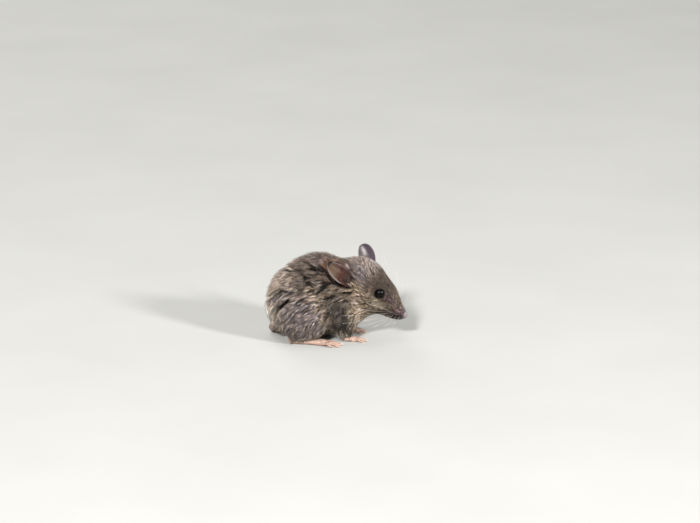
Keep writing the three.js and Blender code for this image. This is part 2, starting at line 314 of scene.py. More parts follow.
# %% Copies of the solids, and balls strung along a path
def swollen(node, by):
    """A node's points and faces, merged, in millimetres, and grown a little."""
    soup = bmesh.new()
    soup.from_mesh(frame["nodes"][node].data)
    bmesh.ops.remove_doubles(soup, verts=soup.verts, dist=1e-6)
    points = np.array([v.co / MM + v.normal * by for v in soup.verts]) - DATUM
    faces = [[v.index for v in f.verts] for f in soup.faces]
    soup.free()
    return points, faces


ball = bmesh.new()
bmesh.ops.create_icosphere(ball, subdivisions=2, radius=1)
ball_points = np.array([v.co for v in ball.verts])
ball_faces = [[v.index for v in f.verts] for f in ball.faces]
ball.free()


def strung(path, radii, stretch=(1, 1, 1), step=0.22):
    """Balls so close along a path that the remesh reads them as one limb."""
    path, radii = np.atleast_2d(np.asarray(path, float)), np.atleast_1d(radii)
    lengths = np.linalg.norm(np.diff(path, axis=0), axis=1)
    along = np.concatenate([[0], np.cumsum(lengths)])
    spots = np.linspace(0, along[-1], max(2, int(along[-1] / step) + 1)) if along[-1] else [0.0]
    parts = []
    for spot in spots:
        middle = [np.interp(spot, along, path[:, k]) for k in range(3)]
        radius = np.interp(spot, along, radii)
        parts.append((ball_points * np.array(stretch) * radius + middle, ball_faces))
    return parts


print("a ball:", len(ball_faces), "faces")

# %% One closed core of the fleshy solids
CLOSING = 0.25  # mm, more than half of the cuts between the solids
CORE_VOXEL = 0.32
SOCKET_BALL, EAR_ROOT_BALL, EAR_ROOT_DROP = 1.75, 2.1, [0, 0, 0.6]
ANKLE_RADII = [1.15, 1.25]
MIDDLE = ("trunk", "neck", "head", "nose")
LIMBS = ("foreleg", "hind_leg")
FLESH = [*MIDDLE, *(f"{limb}_{side}" for limb in LIMBS for side in SIDES)]
EAR_ROOTS = {"right": np.array([3.7, -8.3, 20.6]), "left": np.array([10.7, 5.4, 23.0])}


def on_side(place, side):
    """A point or a line given for the left, moved to its side."""
    return np.array(place) * [1, side, 1]


ANKLES = {
    "forepaw": [(3.2, 5.8, 1.0), (3.3, 6.0, 3.4)],
    "hind_foot": [(-15.2, 8.6, 1.15), (-14.4, 9.0, 3.8)],
}
core_parts = [swollen(node, CLOSING) for node in FLESH]
for side, sign in SIDES.items():
    core_parts += strung([eyes[side]], [SOCKET_BALL])
    core_parts += strung([EAR_ROOTS[side] - EAR_ROOT_DROP], [EAR_ROOT_BALL])
    for ankle in ANKLES.values():
        core_parts += strung([on_side(p, sign) for p in ankle], ANKLE_RADII)
core = fused(core_parts, CORE_VOXEL)
core_points = smoothed(read(core), edges_of(core), 4)
write(core, core_points)
envelope = surface_tree(core)
print("core:", len(core.vertices), "vertices")


# %% How near each point is to each solid
def nearness(points, node, reach=1.6):
    """1 on a solid and falling to 0 over a few millimetres away from it."""
    solid_points, faces = swollen(node, 0)
    tree = BVHTree.FromPolygons(solid_points.tolist(), faces)
    distance = np.array([tree.find_nearest(Vector(p))[3] for p in points])
    return np.exp(-((distance / reach) ** 2))


def shares(points):
    """How much of each point belongs to each part of the body. The shares add up to 1."""
    raw = {node: nearness(points, node) for node in MIDDLE}
    for limb in LIMBS:
        raw[limb] = sum(nearness(points, f"{limb}_{side}") for side in SIDES)
    total = sum(raw.values()) + 1e-6
    return {node: value / total for node, value in raw.items()}


at_neck = shares(centre("neck")[None])
print("shares in the middle of the neck:", {node: float(value[0].round(2)) for node, value in at_neck.items()})

# %% How deep the coat is
BELLY_DEPTH, DEEPER_ON_BACK = 1.35, 0.8  # all the depths are in mm
ANKLE_DEPTH, DEEPER_UP_LEG = 0.35, 1.0
FACE_DEPTH = {"behind_the_nose": [-20, -15, -9, -5, -1.6, 0], "depth": [1.3, 1.0, 0.6, 0.32, 0.1, 0.02]}
NOSE_DEPTH, LID_DEPTH = 0.02, 0.25
EAR_ROOT_DEPTH, DEEPER_FROM_EAR = 0.5, 1.6
NECK_SHARE = 0.85  # of the trunk's depth


def ramp(values, low, high):
    """0 below low, 1 above high and smooth between."""
    share = np.clip((np.asarray(values, float) - low) / (high - low), 0, 1)
    return share * share * (3 - 2 * share)


def coat_depth(points, normals):
    """The coat's depth in mm: deep on the back, thin on the face and down the legs."""
    part = shares(points)
    head = to_head(points)
    back = BELLY_DEPTH + DEEPER_ON_BACK * ramp(normals[:, 2], -0.6, 0.7)
    leg = ANKLE_DEPTH + DEEPER_UP_LEG * ramp(points[:, 2], 2.5, 9)
    face = np.interp(head[:, 0], *FACE_DEPTH.values())
    depth = (part["trunk"] + part["neck"] * NECK_SHARE) * back + part["nose"] * NOSE_DEPTH
    depth += (part["foreleg"] + part["hind_leg"]) * leg + part["head"] * face
    for side in SIDES:
        from_eye = np.linalg.norm(points - eyes[side], axis=1)
        depth = LID_DEPTH + (depth - LID_DEPTH) * ramp(from_eye, 2.2, 5.0)
        from_ear = np.linalg.norm(points - EAR_ROOTS[side], axis=1)
        depth = np.minimum(depth, EAR_ROOT_DEPTH + DEEPER_FROM_EAR * ramp(from_ear, 1.5, 5.0))
    return depth


print("depth on the face, mm:", dict(zip(*FACE_DEPTH.values())))

# %% Sink the skin by the coat's depth
SINKS, SKIN_VOXEL = 4, 0.3
core_edges = edges_of(core)
depth = smoothed(coat_depth(core_points, read(core, "normal")), core_edges, 12)
for _ in range(SINKS):
    sunk = read(core) - read(core, "normal") * ((depth + CLOSING) / SINKS)[:, None]
    write(core, smoothed(sunk, core_edges, 2, 0.4))
core = fused([(read(core), [list(p.vertices) for p in core.polygons])], SKIN_VOXEL)
write(core, smoothed(read(core), edges_of(core), 3, 0.5))
print("sunk core:", len(core.vertices), "vertices; coat up to", depth.max().round(2), "mm")

# %% [markdown]
# ## The face
# Lids, nostrils, lips and whisker pads are smaller than the remesh can hold, so the face first gets more
# points, and then each feature is pressed into them or drawn out of them. The lids are the skin itself: it
# dives under the eyeball and stands up round it in a thin rim, so the eye sits in the head with no hole to
# close.

# %% More points on the face
MUZZLE_LENGTH, MUZZLE_DEPTH, SOCKET_REACH = 8.0, 5.0, 3.5


def near_face(points):
    head = to_head(points)
    muzzle = (head[:, 0] > -MUZZLE_LENGTH) & (head[:, 2] > -MUZZLE_DEPTH)
    sockets = [np.linalg.norm(points - eyes[side], axis=1) < SOCKET_REACH for side in SIDES]
    return muzzle | sockets[0] | sockets[1]


refined = near_face(read(core))
soup = bmesh.new()
soup.from_mesh(core)
face_edges = [e for e in soup.edges if all(refined[v.index] for v in e.verts)]
bmesh.ops.subdivide_edges(soup, edges=face_edges, cuts=1, use_grid_fill=True)
bmesh.ops.triangulate(soup, faces=[f for f in soup.faces if len(f.verts) > 4])
soup.to_mesh(core)
soup.free()
points = read(core)
core_edges = edges_of(core)
on_face = near_face(points).astype(float)
points = smoothed(points, core_edges, 5, on_face * 0.5)
print("face:", int(on_face.sum()), "vertices of", len(points))

# %% Lids
EYE_RADIUS = 1.86
LID_RADIUS = 1.68
EYE_LOOKS = unit([0.18, 1.0, 0.22])  # in the head's frame, for the left
LID_CREST, CREST_PLACE, CREST_WIDTH = 0.13, 0.26, 0.2  # mm over the eyeball, out from the opening, and wide
INNER_CORNER, OUTER_CORNER = 0.3, 0.12  # mm that the opening is drawn out
SOCKET_SLOPE, SOCKET_WIDTH = 2.6, 0.4  # how steeply the skin dives under the ball, and for how many mm
lid_line = math.sqrt(EYE_RADIUS**2 - LID_RADIUS**2)
eye_axes = {}
for side, sign in SIDES.items():
    axis = unit((EYE_LOOKS * [1, sign, 1]) @ head_axes)
    front = unit(head_x - axis * (head_x @ axis))
    eye_axes[side] = axis
    out = (points - eyes[side]) @ axis
    ahead = (points - eyes[side]) @ front
    above = (points - eyes[side]) @ head_z
    from_axis = np.linalg.norm((points - eyes[side]) - out[:, None] * axis, axis=1)
    turn = np.arctan2(above, ahead)
    corner = INNER_CORNER * np.exp(-(((turn + 0.25) / 0.3) ** 2))
    corner = corner + OUTER_CORNER * np.exp(-(((np.abs(turn) - 3.0) / 0.4) ** 2))
    past_rim = from_axis - (LID_RADIUS + corner)
    rim = LID_CREST * np.exp(-(((past_rim - CREST_PLACE) / CREST_WIDTH) ** 2))
    crest = lid_line + rim - 0.5 * ramp(past_rim, 0.35, 1.6)
    dive = lid_line - SOCKET_SLOPE * np.minimum(-past_rim, SOCKET_WIDTH)
    target = np.where(past_rim > 0, crest, dive)
    near = (1 - ramp(past_rim, 0.5, 2.0)) * (out > -0.6)
    points += ((target - out) * near)[:, None] * axis
points = smoothed(points, core_edges, 1, on_face * 0.3)
print("lids open to", 2 * LID_RADIUS, "mm")


# %% Distance from a line
def from_line(points, path):
    """Distance of each point from a line through a few places, and how far along that it is, from 0 to 1."""
    path = np.asarray(path, float)
    best = np.full(len(points), 1e9)
    share = np.zeros(len(points))
    for k, (a, b) in enumerate(zip(path[:-1], path[1:])):
        t = np.clip((points - a) @ (b - a) / ((b - a) @ (b - a)), 0, 1)
        distance = np.linalg.norm(points - a - t[:, None] * (b - a), axis=1)
        closer = distance < best
        best = np.where(closer, distance, best)
        share = np.where(closer, (k + t) / (len(path) - 1), share)
    return best, share


from_brow, _ = from_line(nose_tip[None], list(eyes.values()))
print("from the tip of the nose to the line through the eyes, mm:", from_brow.round(1))

# %% Nostrils, lips and whisker pads
NOSTRIL = [(-0.3, 0.42, 0.25), (-0.75, 0.95, 0.35), (-1.15, 1.2, 0.05)]
PHILTRUM = [(0.1, 0, 0.75), (0.1, 0, -0.2), (-0.8, 0, -0.9), (-1.7, 0, -1.5)]
LIP = [(-1.6, 0, -1.5), (-3.0, 1.3, -1.75), (-5.2, 2.3, -1.9), (-7.4, 2.9, -1.7)]
PAD = [(-3.0, 1.55, -0.5), (-5.6, 2.6, -0.4)]
WIDTHS = {"nostril": 0.22, "lip": 0.26, "pad": 1.0, "philtrum": 0.16}  # mm
DEPTHS = {"nostril": 0.5, "lip": 0.42, "pad": 0.22, "philtrum": 0.12}
write(core, points)
normals = read(core, "normal")
head = to_head(points)
pressed = np.zeros(len(points))
mouth = np.zeros(len(points))
nostril = np.zeros(len(points))
for sign in SIDES.values():
    pit, _ = from_line(head, on_side(NOSTRIL, sign))
    nostril += np.exp(-((pit / WIDTHS["nostril"]) ** 2))
    slit, along_lip = from_line(head, on_side(LIP, sign))
    mouth += np.exp(-((slit / WIDTHS["lip"]) ** 2)) * (1 - ramp(along_lip, 0.75, 1))
    pad, _ = from_line(head, on_side(PAD, sign))
    pressed += DEPTHS["pad"] * np.exp(-((pad / WIDTHS["pad"]) ** 2))
groove, _ = from_line(head, PHILTRUM)
hollows = DEPTHS["nostril"] * np.minimum(nostril, 1) + DEPTHS["lip"] * np.minimum(mouth, 1)
pressed -= hollows + DEPTHS["philtrum"] * np.exp(-((groove / WIDTHS["philtrum"]) ** 2))
points = smoothed(points + normals * pressed[:, None], core_edges, 1, on_face * 0.3)
write(core, points)
print("deepest press, mm:", -pressed.min().round(2))

# %% [markdown]
# ## Ears, feet and tail
# An ear is a cupped leaf with a rule of its own: an arc that opens from half a tube at the root to a shallow
# dish at the tip. The feet are balls strung along their bones, and the tail is a ringed tube along a curve. All
# three are joined to the core by a union, so that the skin stays one closed surface.


# %% Faces between rings of points
def ring_faces(rings, sides, turned):
    """Quads between rings of points, and fans to two more points, which close the first ring and the last."""
    ring = np.arange(sides)
    after = np.roll(ring, -1)
    faces = []
    for j in range(rings - 1):
        a, b = j * sides + ring, j * sides + after
        quads = [a, b, b + sides, a + sides] if turned else [a, a + sides, b + sides, b]
        faces += np.column_stack(quads).tolist()
    last, first_end, last_end = (rings - 1) * sides, rings * sides, rings * sides + 1
    pairs = list(zip(ring.tolist(), after.tolist()))
    faces += [[first_end, b, a] if turned else [first_end, a, b] for a, b in pairs]
    faces += [[last_end, last + a, last + b] if turned else [last_end, last + b, last + a] for a, b in pairs]
    return faces


print("a tube of 2 rings with 6 sides:", len(ring_faces(2, 6, True)), "faces")

# %% The rule of an ear
EAR = {  # in mm and degrees
    "length": 9.6, "width": 8.4, "root_width": 4.3, "thickness": 0.46,
    "root_cup": 190, "tip_cup": 60, "lean": 1.7,
}
RIDGE_HEIGHT, RIM_ROLL = 0.1, 0.35
EAR_ROUND, EAR_UP = 72, 46


def ear(root, along, opening):
    """A closed leaf, with each point's place: across from -1 to 1, up from 0 to 1, and 1 on the inside."""
    up = unit(along)
    out = unit(np.array(opening) - up * (np.array(opening) @ up))
    across = np.cross(up, out)
    u = np.arange(EAR_ROUND) / EAR_ROUND * 2 * math.pi
    points, place = [], []
    for v in np.sin(np.linspace(0, math.pi / 2, EAR_UP + 1)[:-1]):  # closer together towards the tip
        lower, upper = min(2 * v, 1), max(2 * v - 1, 0)
        rounding = math.sqrt(1 - upper**2)
        widest = EAR["root_width"] + (EAR["width"] - EAR["root_width"]) * math.sin(lower * math.pi / 2)
        opened = EAR["root_cup"] + (EAR["tip_cup"] - EAR["root_cup"]) * math.sqrt(v)
        cup = math.radians(opened) / 2
        radius = widest / 2 * rounding / math.sin(min(cup, math.pi / 2))
        turn = cup * np.cos(u)
        inside = np.sin(u) < 0
        wall = EAR["thickness"] / 2 * np.sign(np.sin(u)) * np.abs(np.sin(u)) ** 0.5 * rounding**0.5
        ridges = RIDGE_HEIGHT * np.sin(v * 34) * ramp(v, 0.08, 0.2) * (1 - ramp(v, 0.45, 0.65))
        ridges = ridges * np.exp(-((turn / 0.5) ** 2))
        rim_roll = RIM_ROLL * np.abs(np.cos(u)) ** 8 * ramp(v, 0.25, 0.6)
        reach = radius + wall - ridges * inside - rim_roll
        sideways = reach * np.sin(turn)
        outward = radius - reach * np.cos(turn) + EAR["lean"] * v**2
        points.append(root + np.outer(sideways, across) + np.outer(outward, out) + v * EAR["length"] * up)
        place.append(np.column_stack([np.cos(u), np.full(len(u), v), inside]))
    tip = root + EAR["length"] * up + EAR["lean"] * out
    base = points[0].mean(0) - 0.3 * up
    points = np.concatenate(points + [[base, tip]])
    place = np.concatenate(place + [[[0, 0, 0], [0, 1, 0]]])
    return points, ring_faces(EAR_UP, EAR_ROUND, False), place


print("an ear's cup, degrees:", EAR["root_cup"], "at its root and", EAR["tip_cup"], "at its tip")

# %% The ears
EAR_SHAPES = {  # the root, the way up the ear and the way that it opens
    "right": (EAR_ROOTS["right"], (-0.8, 0.07, 0.59), (0.48, -0.5, 0.72)),
    "left": (EAR_ROOTS["left"], (-0.44, 0.64, 0.64), (0.74, 0.6, -0.1)),
}
ears = {side: ear(*shape) for side, shape in EAR_SHAPES.items()}
print("ears:", {side: len(faces) for side, (_, faces, _) in ears.items()}, "faces")

# %% The bones and pads of a foot
PAWS = {  # the left ones, in mm and degrees; toe is a toe's thickness
    "forepaw": {
        "heel": (3.2, 5.8), "ball": (6.0, 5.6), "radii": (1.15, 1.28), "heights": (1.0, 0.9),
        "toes": (2.4, 3.4, 3.4, 2.5), "fan": 62, "toe": 0.46,
    },
    "hind_foot": {
        "heel": (-15.2, 8.6), "ball": (-4.6, 10.6), "radii": (1.25, 1.5), "heights": (1.1, 1.0),
        "toes": (3.6, 5.4, 5.8, 5.4, 3.4), "fan": 46, "toe": 0.56,
    },
}
PAD_RADIUS, PAD_SPREAD = 0.5, 1.9


def paw(shape):
    """The left foot's parts, and the place and heading of each toe's tip."""
    back = np.array([*shape["heel"], shape["heights"][0]])
    front = np.array([*shape["ball"], shape["heights"][1]])
    heading = math.atan2(front[1] - back[1], front[0] - back[0])
    sideways = np.array([-math.sin(heading), math.cos(heading), 0])
    narrow, wide = shape["radii"]
    parts = strung([back, (back + front) / 2, front], [narrow, narrow * 0.86, wide], (1, 1, 0.8))
    tips = []
    toe = shape["toe"]
    for i, length in enumerate(shape["toes"]):
        share = i / (len(shape["toes"]) - 1) - 0.5
        angle = heading + math.radians(shape["fan"]) * share
        out = np.array([math.cos(angle), math.sin(angle), 0])
        root = front + sideways * share * wide * 1.5
        root[2] = toe * 1.5
        knuckle = root + out * length * 0.5 + [0, 0, toe * 0.5]
        tip = root + out * length
        tip[2] = toe * 0.82
        bones = [root, knuckle, tip - out * 0.25, tip]
        parts += strung(bones, [toe * 1.1, toe * 0.86, toe * 0.84, toe * 0.72])
        parts += strung([tip - out * 0.3 - [0, 0, 0.08]], [toe * 0.8])
        tips.append((tip, out))
    for share in (-0.5, 0.0, 0.5):
        parts += strung([front + sideways * share * PAD_SPREAD - [0.5, 0, front[2] - 0.42]], [PAD_RADIUS])
    return parts, tips


print("toes on each foot:", {name: len(shape["toes"]) for name, shape in PAWS.items()})

# %% The feet and where their claws go
PAW_VOXEL = 0.18
SOLE_CLEARANCE = 0.03
paws, toe_tips = {}, []
for name, shape in PAWS.items():
    parts, tips = paw(shape)
    for side, sign in SIDES.items():
        flip = np.array([1, sign, 1])
        placed = [(p * flip, f if sign > 0 else [q[::-1] for q in f]) for p, f in parts]
        mesh = fused(placed, PAW_VOXEL)
        rested = smoothed(read(mesh), edges_of(mesh), 3, 0.5)
        rested[:, 2] = np.maximum(rested[:, 2], SOLE_CLEARANCE)
        write(mesh, rested)
        paws[f"{name}_{side}"] = mesh
        toe_tips += [(tip * flip, out * flip) for tip, out in tips]
print("feet:", {name: len(mesh.vertices) for name, mesh in paws.items()})


# %% Curves and tubes
def curve_through(path, per_span=40):
    """A smooth curve through the places, as many short steps."""
    path = np.asarray(path, float)
    path = np.concatenate([[2 * path[0] - path[1]], path, [2 * path[-1] - path[-2]]])
    t = np.linspace(0, 1, per_span, endpoint=False)[:, None]
    spans = []
    for a, b, c, d in zip(path[:-3], path[1:-2], path[2:-1], path[3:]):
        spans.append(b + 0.5 * t * (c - a + t * (2 * a - 5 * b + 4 * c - d + t * (3 * (b - c) + d - a))))
    return np.concatenate(spans + [path[-2:-1]])


def spaced(path, step):
    """The same line in equal steps."""
    along = np.concatenate([[0], np.cumsum(np.linalg.norm(np.diff(path, axis=0), axis=1))])
    spots = np.linspace(0, along[-1], max(2, int(round(along[-1] / step))))
    return np.column_stack([np.interp(spots, along, path[:, k]) for k in range(3)]), spots


def tube(line, radii, sides):
    """A closed round tube with domed ends."""
    heading = unit(np.gradient(line, axis=0))
    side = unit(np.cross(heading, [0, 0, 1]))
    top = np.cross(side, heading)
    angle = np.arange(sides)[None, :, None] / sides * 2 * math.pi
    spokes = np.cos(angle) * side[:, None] + np.sin(angle) * top[:, None]
    rings = line[:, None] + radii[:, None, None] * spokes
    start = line[:1] - heading[:1] * radii[0] * 0.5
    end = line[-1:] + heading[-1:] * radii[-1] * 0.8
    return np.concatenate([rings.reshape(-1, 3), start, end]), ring_faces(len(line), sides, True)


print("a curve through 3 places:", len(curve_through(np.eye(3))), "points")

# %% The tail
TAIL_PATH = [
    (-18.6, 0.4, 6.2), (-20.8, 1.6, 4.0), (-22.0, 4.8, 2.2), (-21.0, 9.6, 1.6),
    (-17.0, 14.0, 1.21), (-11.2, 16.4, 1.08), (-5.6, 17.2, 0.97), (-1.4, 17.9, 0.89),
    (1.3, 19.9, 0.83), (0.6, 22.6, 0.78), (-3.4, 23.9, 0.7), (-8.8, 23.9, 0.61),
    (-14.2, 22.6, 0.51), (-18.6, 20.8, 0.41),
]
TAIL_RADII, TAIL_TAPER = (1.68, 0.4), 0.8
TAIL_ROUND, TAIL_STEP, RING_SPACING, RING_HEIGHT = 18, 0.16, 0.5, 0.035
tail_line, tail_along = spaced(curve_through(TAIL_PATH), TAIL_STEP)
tail_share = tail_along / tail_along[-1]
tail_rings = RING_HEIGHT * np.cos(tail_along / RING_SPACING * 2 * math.pi)
tail_radii = TAIL_RADII[0] + (TAIL_RADII[1] - TAIL_RADII[0]) * tail_share**TAIL_TAPER + tail_rings
tail_line[:, 2] = np.maximum(tail_line[:, 2], tail_radii + SOLE_CLEARANCE)
tail = tube(tail_line, tail_radii, TAIL_ROUND)
print("tail, mm:", tail_along[-1].round(1), "long with", int(tail_along[-1] / RING_SPACING), "rings")

# %% One skin
skin_object = new_object("skin", core)
for part in [mesh_of(*ears[side][:2]) for side in SIDES] + list(paws.values()) + [mesh_of(*tail)]:
    tool = new_object("tool", part)
    union = skin_object.modifiers.new("union", "BOOLEAN")
    union.operation = "UNION"
    union.solver = "MANIFOLD"
    union.object = tool
skin = plain_mesh(skin_object)
for tool in [o for o in bpy.data.objects if o.name.startswith("tool")]:
    bpy.data.objects.remove(tool)
soup = bmesh.new()
soup.from_mesh(skin)
bmesh.ops.triangulate(soup, faces=soup.faces)
open_edges = sum(not e.is_manifold for e in soup.edges)
soup.to_mesh(skin)
soup.free()
print("skin:", len(skin.polygons), "triangles,", open_edges, "open edges")

# %% Which part of the animal each point of the skin is on
PARTS = {f"ear_{side}": BVHTree.FromPolygons(ears[side][0].tolist(), ears[side][1]) for side in SIDES}
PARTS["tail"] = BVHTree.FromPolygons(tail[0].tolist(), tail[1])
PARTS |= {name: surface_tree(mesh) for name, mesh in paws.items()}
skin_points = read(skin)
skin_edges = edges_of(skin)


def lies_on(tree, points, within=0.02):
    found = [tree.find_nearest(Vector(p), within)[0] is not None for p in points]
    return np.array(found)


def search_tree(points):
    """A tree that finds the nearest of the points."""
    tree = KDTree(len(points))
    for i, p in enumerate(points):
        tree.insert(p, i)
    tree.balance()
    return tree


on_part = {name: lies_on(tree, skin_points) for name, tree in PARTS.items()}
on_ear = on_part["ear_right"] | on_part["ear_left"]
on_paw = np.any([on_part[name] for name in paws], axis=0)
on_tail = on_part["tail"]
on_body = ~(on_ear | on_paw | on_tail)
seam = np.zeros(len(skin_points))
a, b = skin_edges.T
crossing = on_body[a] != on_body[b]
seam[a[crossing]] = seam[b[crossing]] = 1
seam = np.minimum(smoothed(seam, skin_edges, 6) * 6, 1)
skin_points = smoothed(skin_points, skin_edges, 10, seam * 0.5)
write(skin, skin_points)
skin_normals = read(skin, "normal")
ear_place = np.zeros((len(skin_points), 3))
for side, (leaf_points, _, leaf_place) in ears.items():
    tree = search_tree(leaf_points)
    for i in np.flatnonzero(on_part[f"ear_{side}"]):
        ear_place[i] = leaf_place[tree.find(skin_points[i])[1]]
body_share = smoothed(on_body.astype(float), skin_edges, 4)
print("points on the body, ears, feet, tail:", on_body.sum(), on_ear.sum(), on_paw.sum(), on_tail.sum())

# %% [markdown]
# ## The lie of the coat
# Hair on a mouse runs from the nose back over the crown, round the hunched back and down to the feet. It could
# be combed by hand, stroke by stroke. A rule for each part of the body, mixed where parts meet, is quicker to
# change and leaves no line where two strokes join. Fine waves turn the hair a little, because the coat of a
# small animal breaks into wavy locks.

# %% A soft noise without images
WAVES, WAVES_TOTAL = 7, 2.6  # how many are mixed, and the height that they seldom pass together


def waves(points, size, seed):
    """A smooth field between about -1 and 1 whose bumps are size millimetres across."""
    rng = np.random.default_rng(seed)
    total = np.zeros(len(points))
    for _ in range(WAVES):
        direction = unit(rng.normal(size=3)) * rng.uniform(0.7, 1.4) * 2 * math.pi / (2 * size)
        total += np.sin(points @ direction + rng.uniform(0, 2 * math.pi))
    return total / WAVES_TOTAL


print("noise on the skin:", np.percentile(waves(skin_points, 1.0, 0), [5, 50, 95]).round(2))

# %% Directions
BACK_HUB = np.array([-5.0, 0.0, 8.0])  # the trunk's coat runs round this place as round a wheel
SHOULDER_HUB = np.array([3.5, 0.0, 6.0])


def round_hub(points, hub):
    return unit(np.column_stack([-(points[:, 2] - hub[2]), np.zeros(len(points)), points[:, 0] - hub[0]]))


def flow(points, normals, part):
    """The direction in which the hair lies, along the surface."""
    head = to_head(points)
    from_nose = unit(head - [1.5, 0, 1.0])
    crown = from_nose * [1, 0.5, 1]
    cheek = unit(np.column_stack([-np.ones(len(head)), 0.15 * np.sign(head[:, 1]), np.full(len(head), -0.62)]))
    low = (1 - ramp(head[:, 2], -2.5, 4.0))[:, None] * ramp(-head[:, 0], 4, 12)[:, None]
    on_head = unit(crown * (1 - low) + cheek * low) @ head_axes
    belly = ramp(-normals[:, 2], 0.1, 0.8)[:, None]
    trunk = unit(round_hub(points, BACK_HUB) * (1 - belly) + np.array([-1, 0, -0.2]) * belly)
    low_front = ((1 - ramp(points[:, 2], 7, 13)) * ramp(points[:, 0], -5, 0))[:, None]
    trunk = unit(trunk * (1 - low_front) + np.array([-0.8, 0, -0.6]) * low_front)
    fore = unit(0.8 * round_hub(points, SHOULDER_HUB) + np.array([-0.1, 0, -0.75]))
    hind = unit(0.5 * round_hub(points, BACK_HUB) + np.array([-0.75, 0, -0.5]))
    neck = unit(0.5 * on_head + 0.6 * trunk)
    rules = {
        "head": on_head, "nose": on_head, "neck": neck, "trunk": trunk, "foreleg": fore, "hind_leg": hind,
    }
    return unit(sum(part[name][:, None] * rule for name, rule in rules.items()))


def along_surface(directions, normals):
    return unit(directions - normals * np.sum(directions * normals, axis=1, keepdims=True))


print("hubs of the coat, mm:", BACK_HUB, SHOULDER_HUB)

# %% The lie at each point of the skin
TOWARDS_TOES = unit((1, 0, -0.1))
OVER_THE_EAR = 2.5 * np.array([-0.6, 0, 0.8])  # the hair ahead of the right ear lies back over its root
LIE_SMOOTHING = 24

skin_part = shares(skin_points)
lie = flow(skin_points, skin_normals, skin_part)
lie[on_paw] = TOWARDS_TOES
for side, (_, along, _) in EAR_SHAPES.items():
    lie[on_part[f"ear_{side}"]] = unit(along)
tail_tree = search_tree(tail_line)
tail_heading = unit(np.gradient(tail_line, axis=0))
nearest_tail = np.array([tail_tree.find(p)[1] for p in skin_points[on_tail]])
lie[on_tail] = tail_heading[nearest_tail]
across, up_ear, inside = ear_place.T
over_ear = on_part["ear_right"] * (inside > 0.5) * (1 - ramp(up_ear - 0.4 * across, 0.15, 0.45))
lie += over_ear[:, None] * OVER_THE_EAR
lie = along_surface(smoothed(lie, skin_edges, LIE_SMOOTHING), skin_normals)
print("points under the hair of the ear's root:", int(np.sum(over_ear > 0.5)))

# %% The parting of the coat
# Each place where the coat breaks open: how far its middle is ahead of the datum and up, in mm, as seen from
# the side and a little above, its length, how steeply it climbs in degrees, its width and how deep it is.
# The gaps are also darkened with painted shade; under and at the edge of the right ear they are partly
# a real parting and partly the ear's painted shadow.
PARTINGS = {
    "behind_the_ear": ((-4.9, 16.5), 5.6, 40, 0.62, 1.0),
    "shadow_under_the_ear": ((1.2, 18.0), 7.4, -18, 0.62, 1.0),
    "shadow_at_the_ear_edge": ((-2.5, 20.4), 4.6, -52, 0.42, 0.9),
    "loin": ((-6.4, 22.7), 6.6, -8, 0.34, 0.9),
    "back": ((-16.1, 22.5), 6.2, -5, 0.28, 0.75),
    "saddle": ((-10.5, 20.2), 3.0, -22, 0.3, 0.75),
    "side": ((-9.1, 18.0), 3.0, -62, 0.3, 0.8),
    "flank": ((-8.0, 15.3), 3.0, -27, 0.3, 0.7),
    "neck": ((3.3, 15.1), 3.4, 0, 0.42, 0.85),
    "shoulder": ((-2.8, 13.4), 4.2, 15, 0.55, 0.75),
    "rump": ((-20.8, 14.4), 4.6, 36, 0.26, 0.8),
    "rump_below": ((-20.2, 13.3), 3.8, 36, 0.24, 0.8),
    "thigh_arch": ((-16.4, 15.2), 6.0, -8, 0.34, 0.65),
    "thigh_top": ((-12.3, 12.5), 3.4, 35, 0.3, 0.8),
    "behind_the_thigh": ((-17.9, 11.1), 4.6, 42, 0.6, 0.95),
    # painted shade only: too shallow to open the coat, it darkens the hair at the elbow
    "elbow_shade": ((1.9, 5.6), 6.4, -82, 0.8, 0.4),
}
RIGHT_ONLY = {"shadow_under_the_ear", "shadow_at_the_ear_edge"}


def parting(points):
    """How far open the coat is at each point, from 0 to 1, and the way that its hair leans from the gap."""
    openness = np.zeros(len(points))
    lean = np.zeros((len(points), 3))
    up_in_view = points[:, 2] * math.cos(ELEVATION) - np.abs(points[:, 1]) * math.sin(ELEVATION)
    side_view = np.column_stack([points[:, 0], up_in_view])
    wobble = 0.22 * waves(points, 1.1, 5) + 0.14 * waves(points, 0.4, 6)
    for name, ((x, up), length, climb, width, depth) in PARTINGS.items():
        climb = math.radians(climb)
        run = np.array([math.cos(climb), math.sin(climb)])
        rise = np.array([-run[1], run[0]])
        ahead = (side_view - [x, up]) @ run
        off = (side_view - [x, up]) @ rise + wobble
        taper = np.sqrt(np.clip(1 - (ahead / (length / 2)) ** 2, 0, 1))
        if name in RIGHT_ONLY:
            taper = taper * (points[:, 1] < 0)
        gap = depth * np.exp(-((off / (width * (0.4 + 0.6 * taper))) ** 2)) * (taper > 0)
        openness = np.maximum(openness, gap)
        away = np.sign(off) * np.exp(-((off / (1.6 * width)) ** 2)) * taper * depth
        lean += away[:, None] * np.array([rise[0], 0, rise[1]])
    return openness, lean


print("points in a gap:", int(np.sum(parting(skin_points)[0] > 0.5)), "from", len(PARTINGS), "gaps")
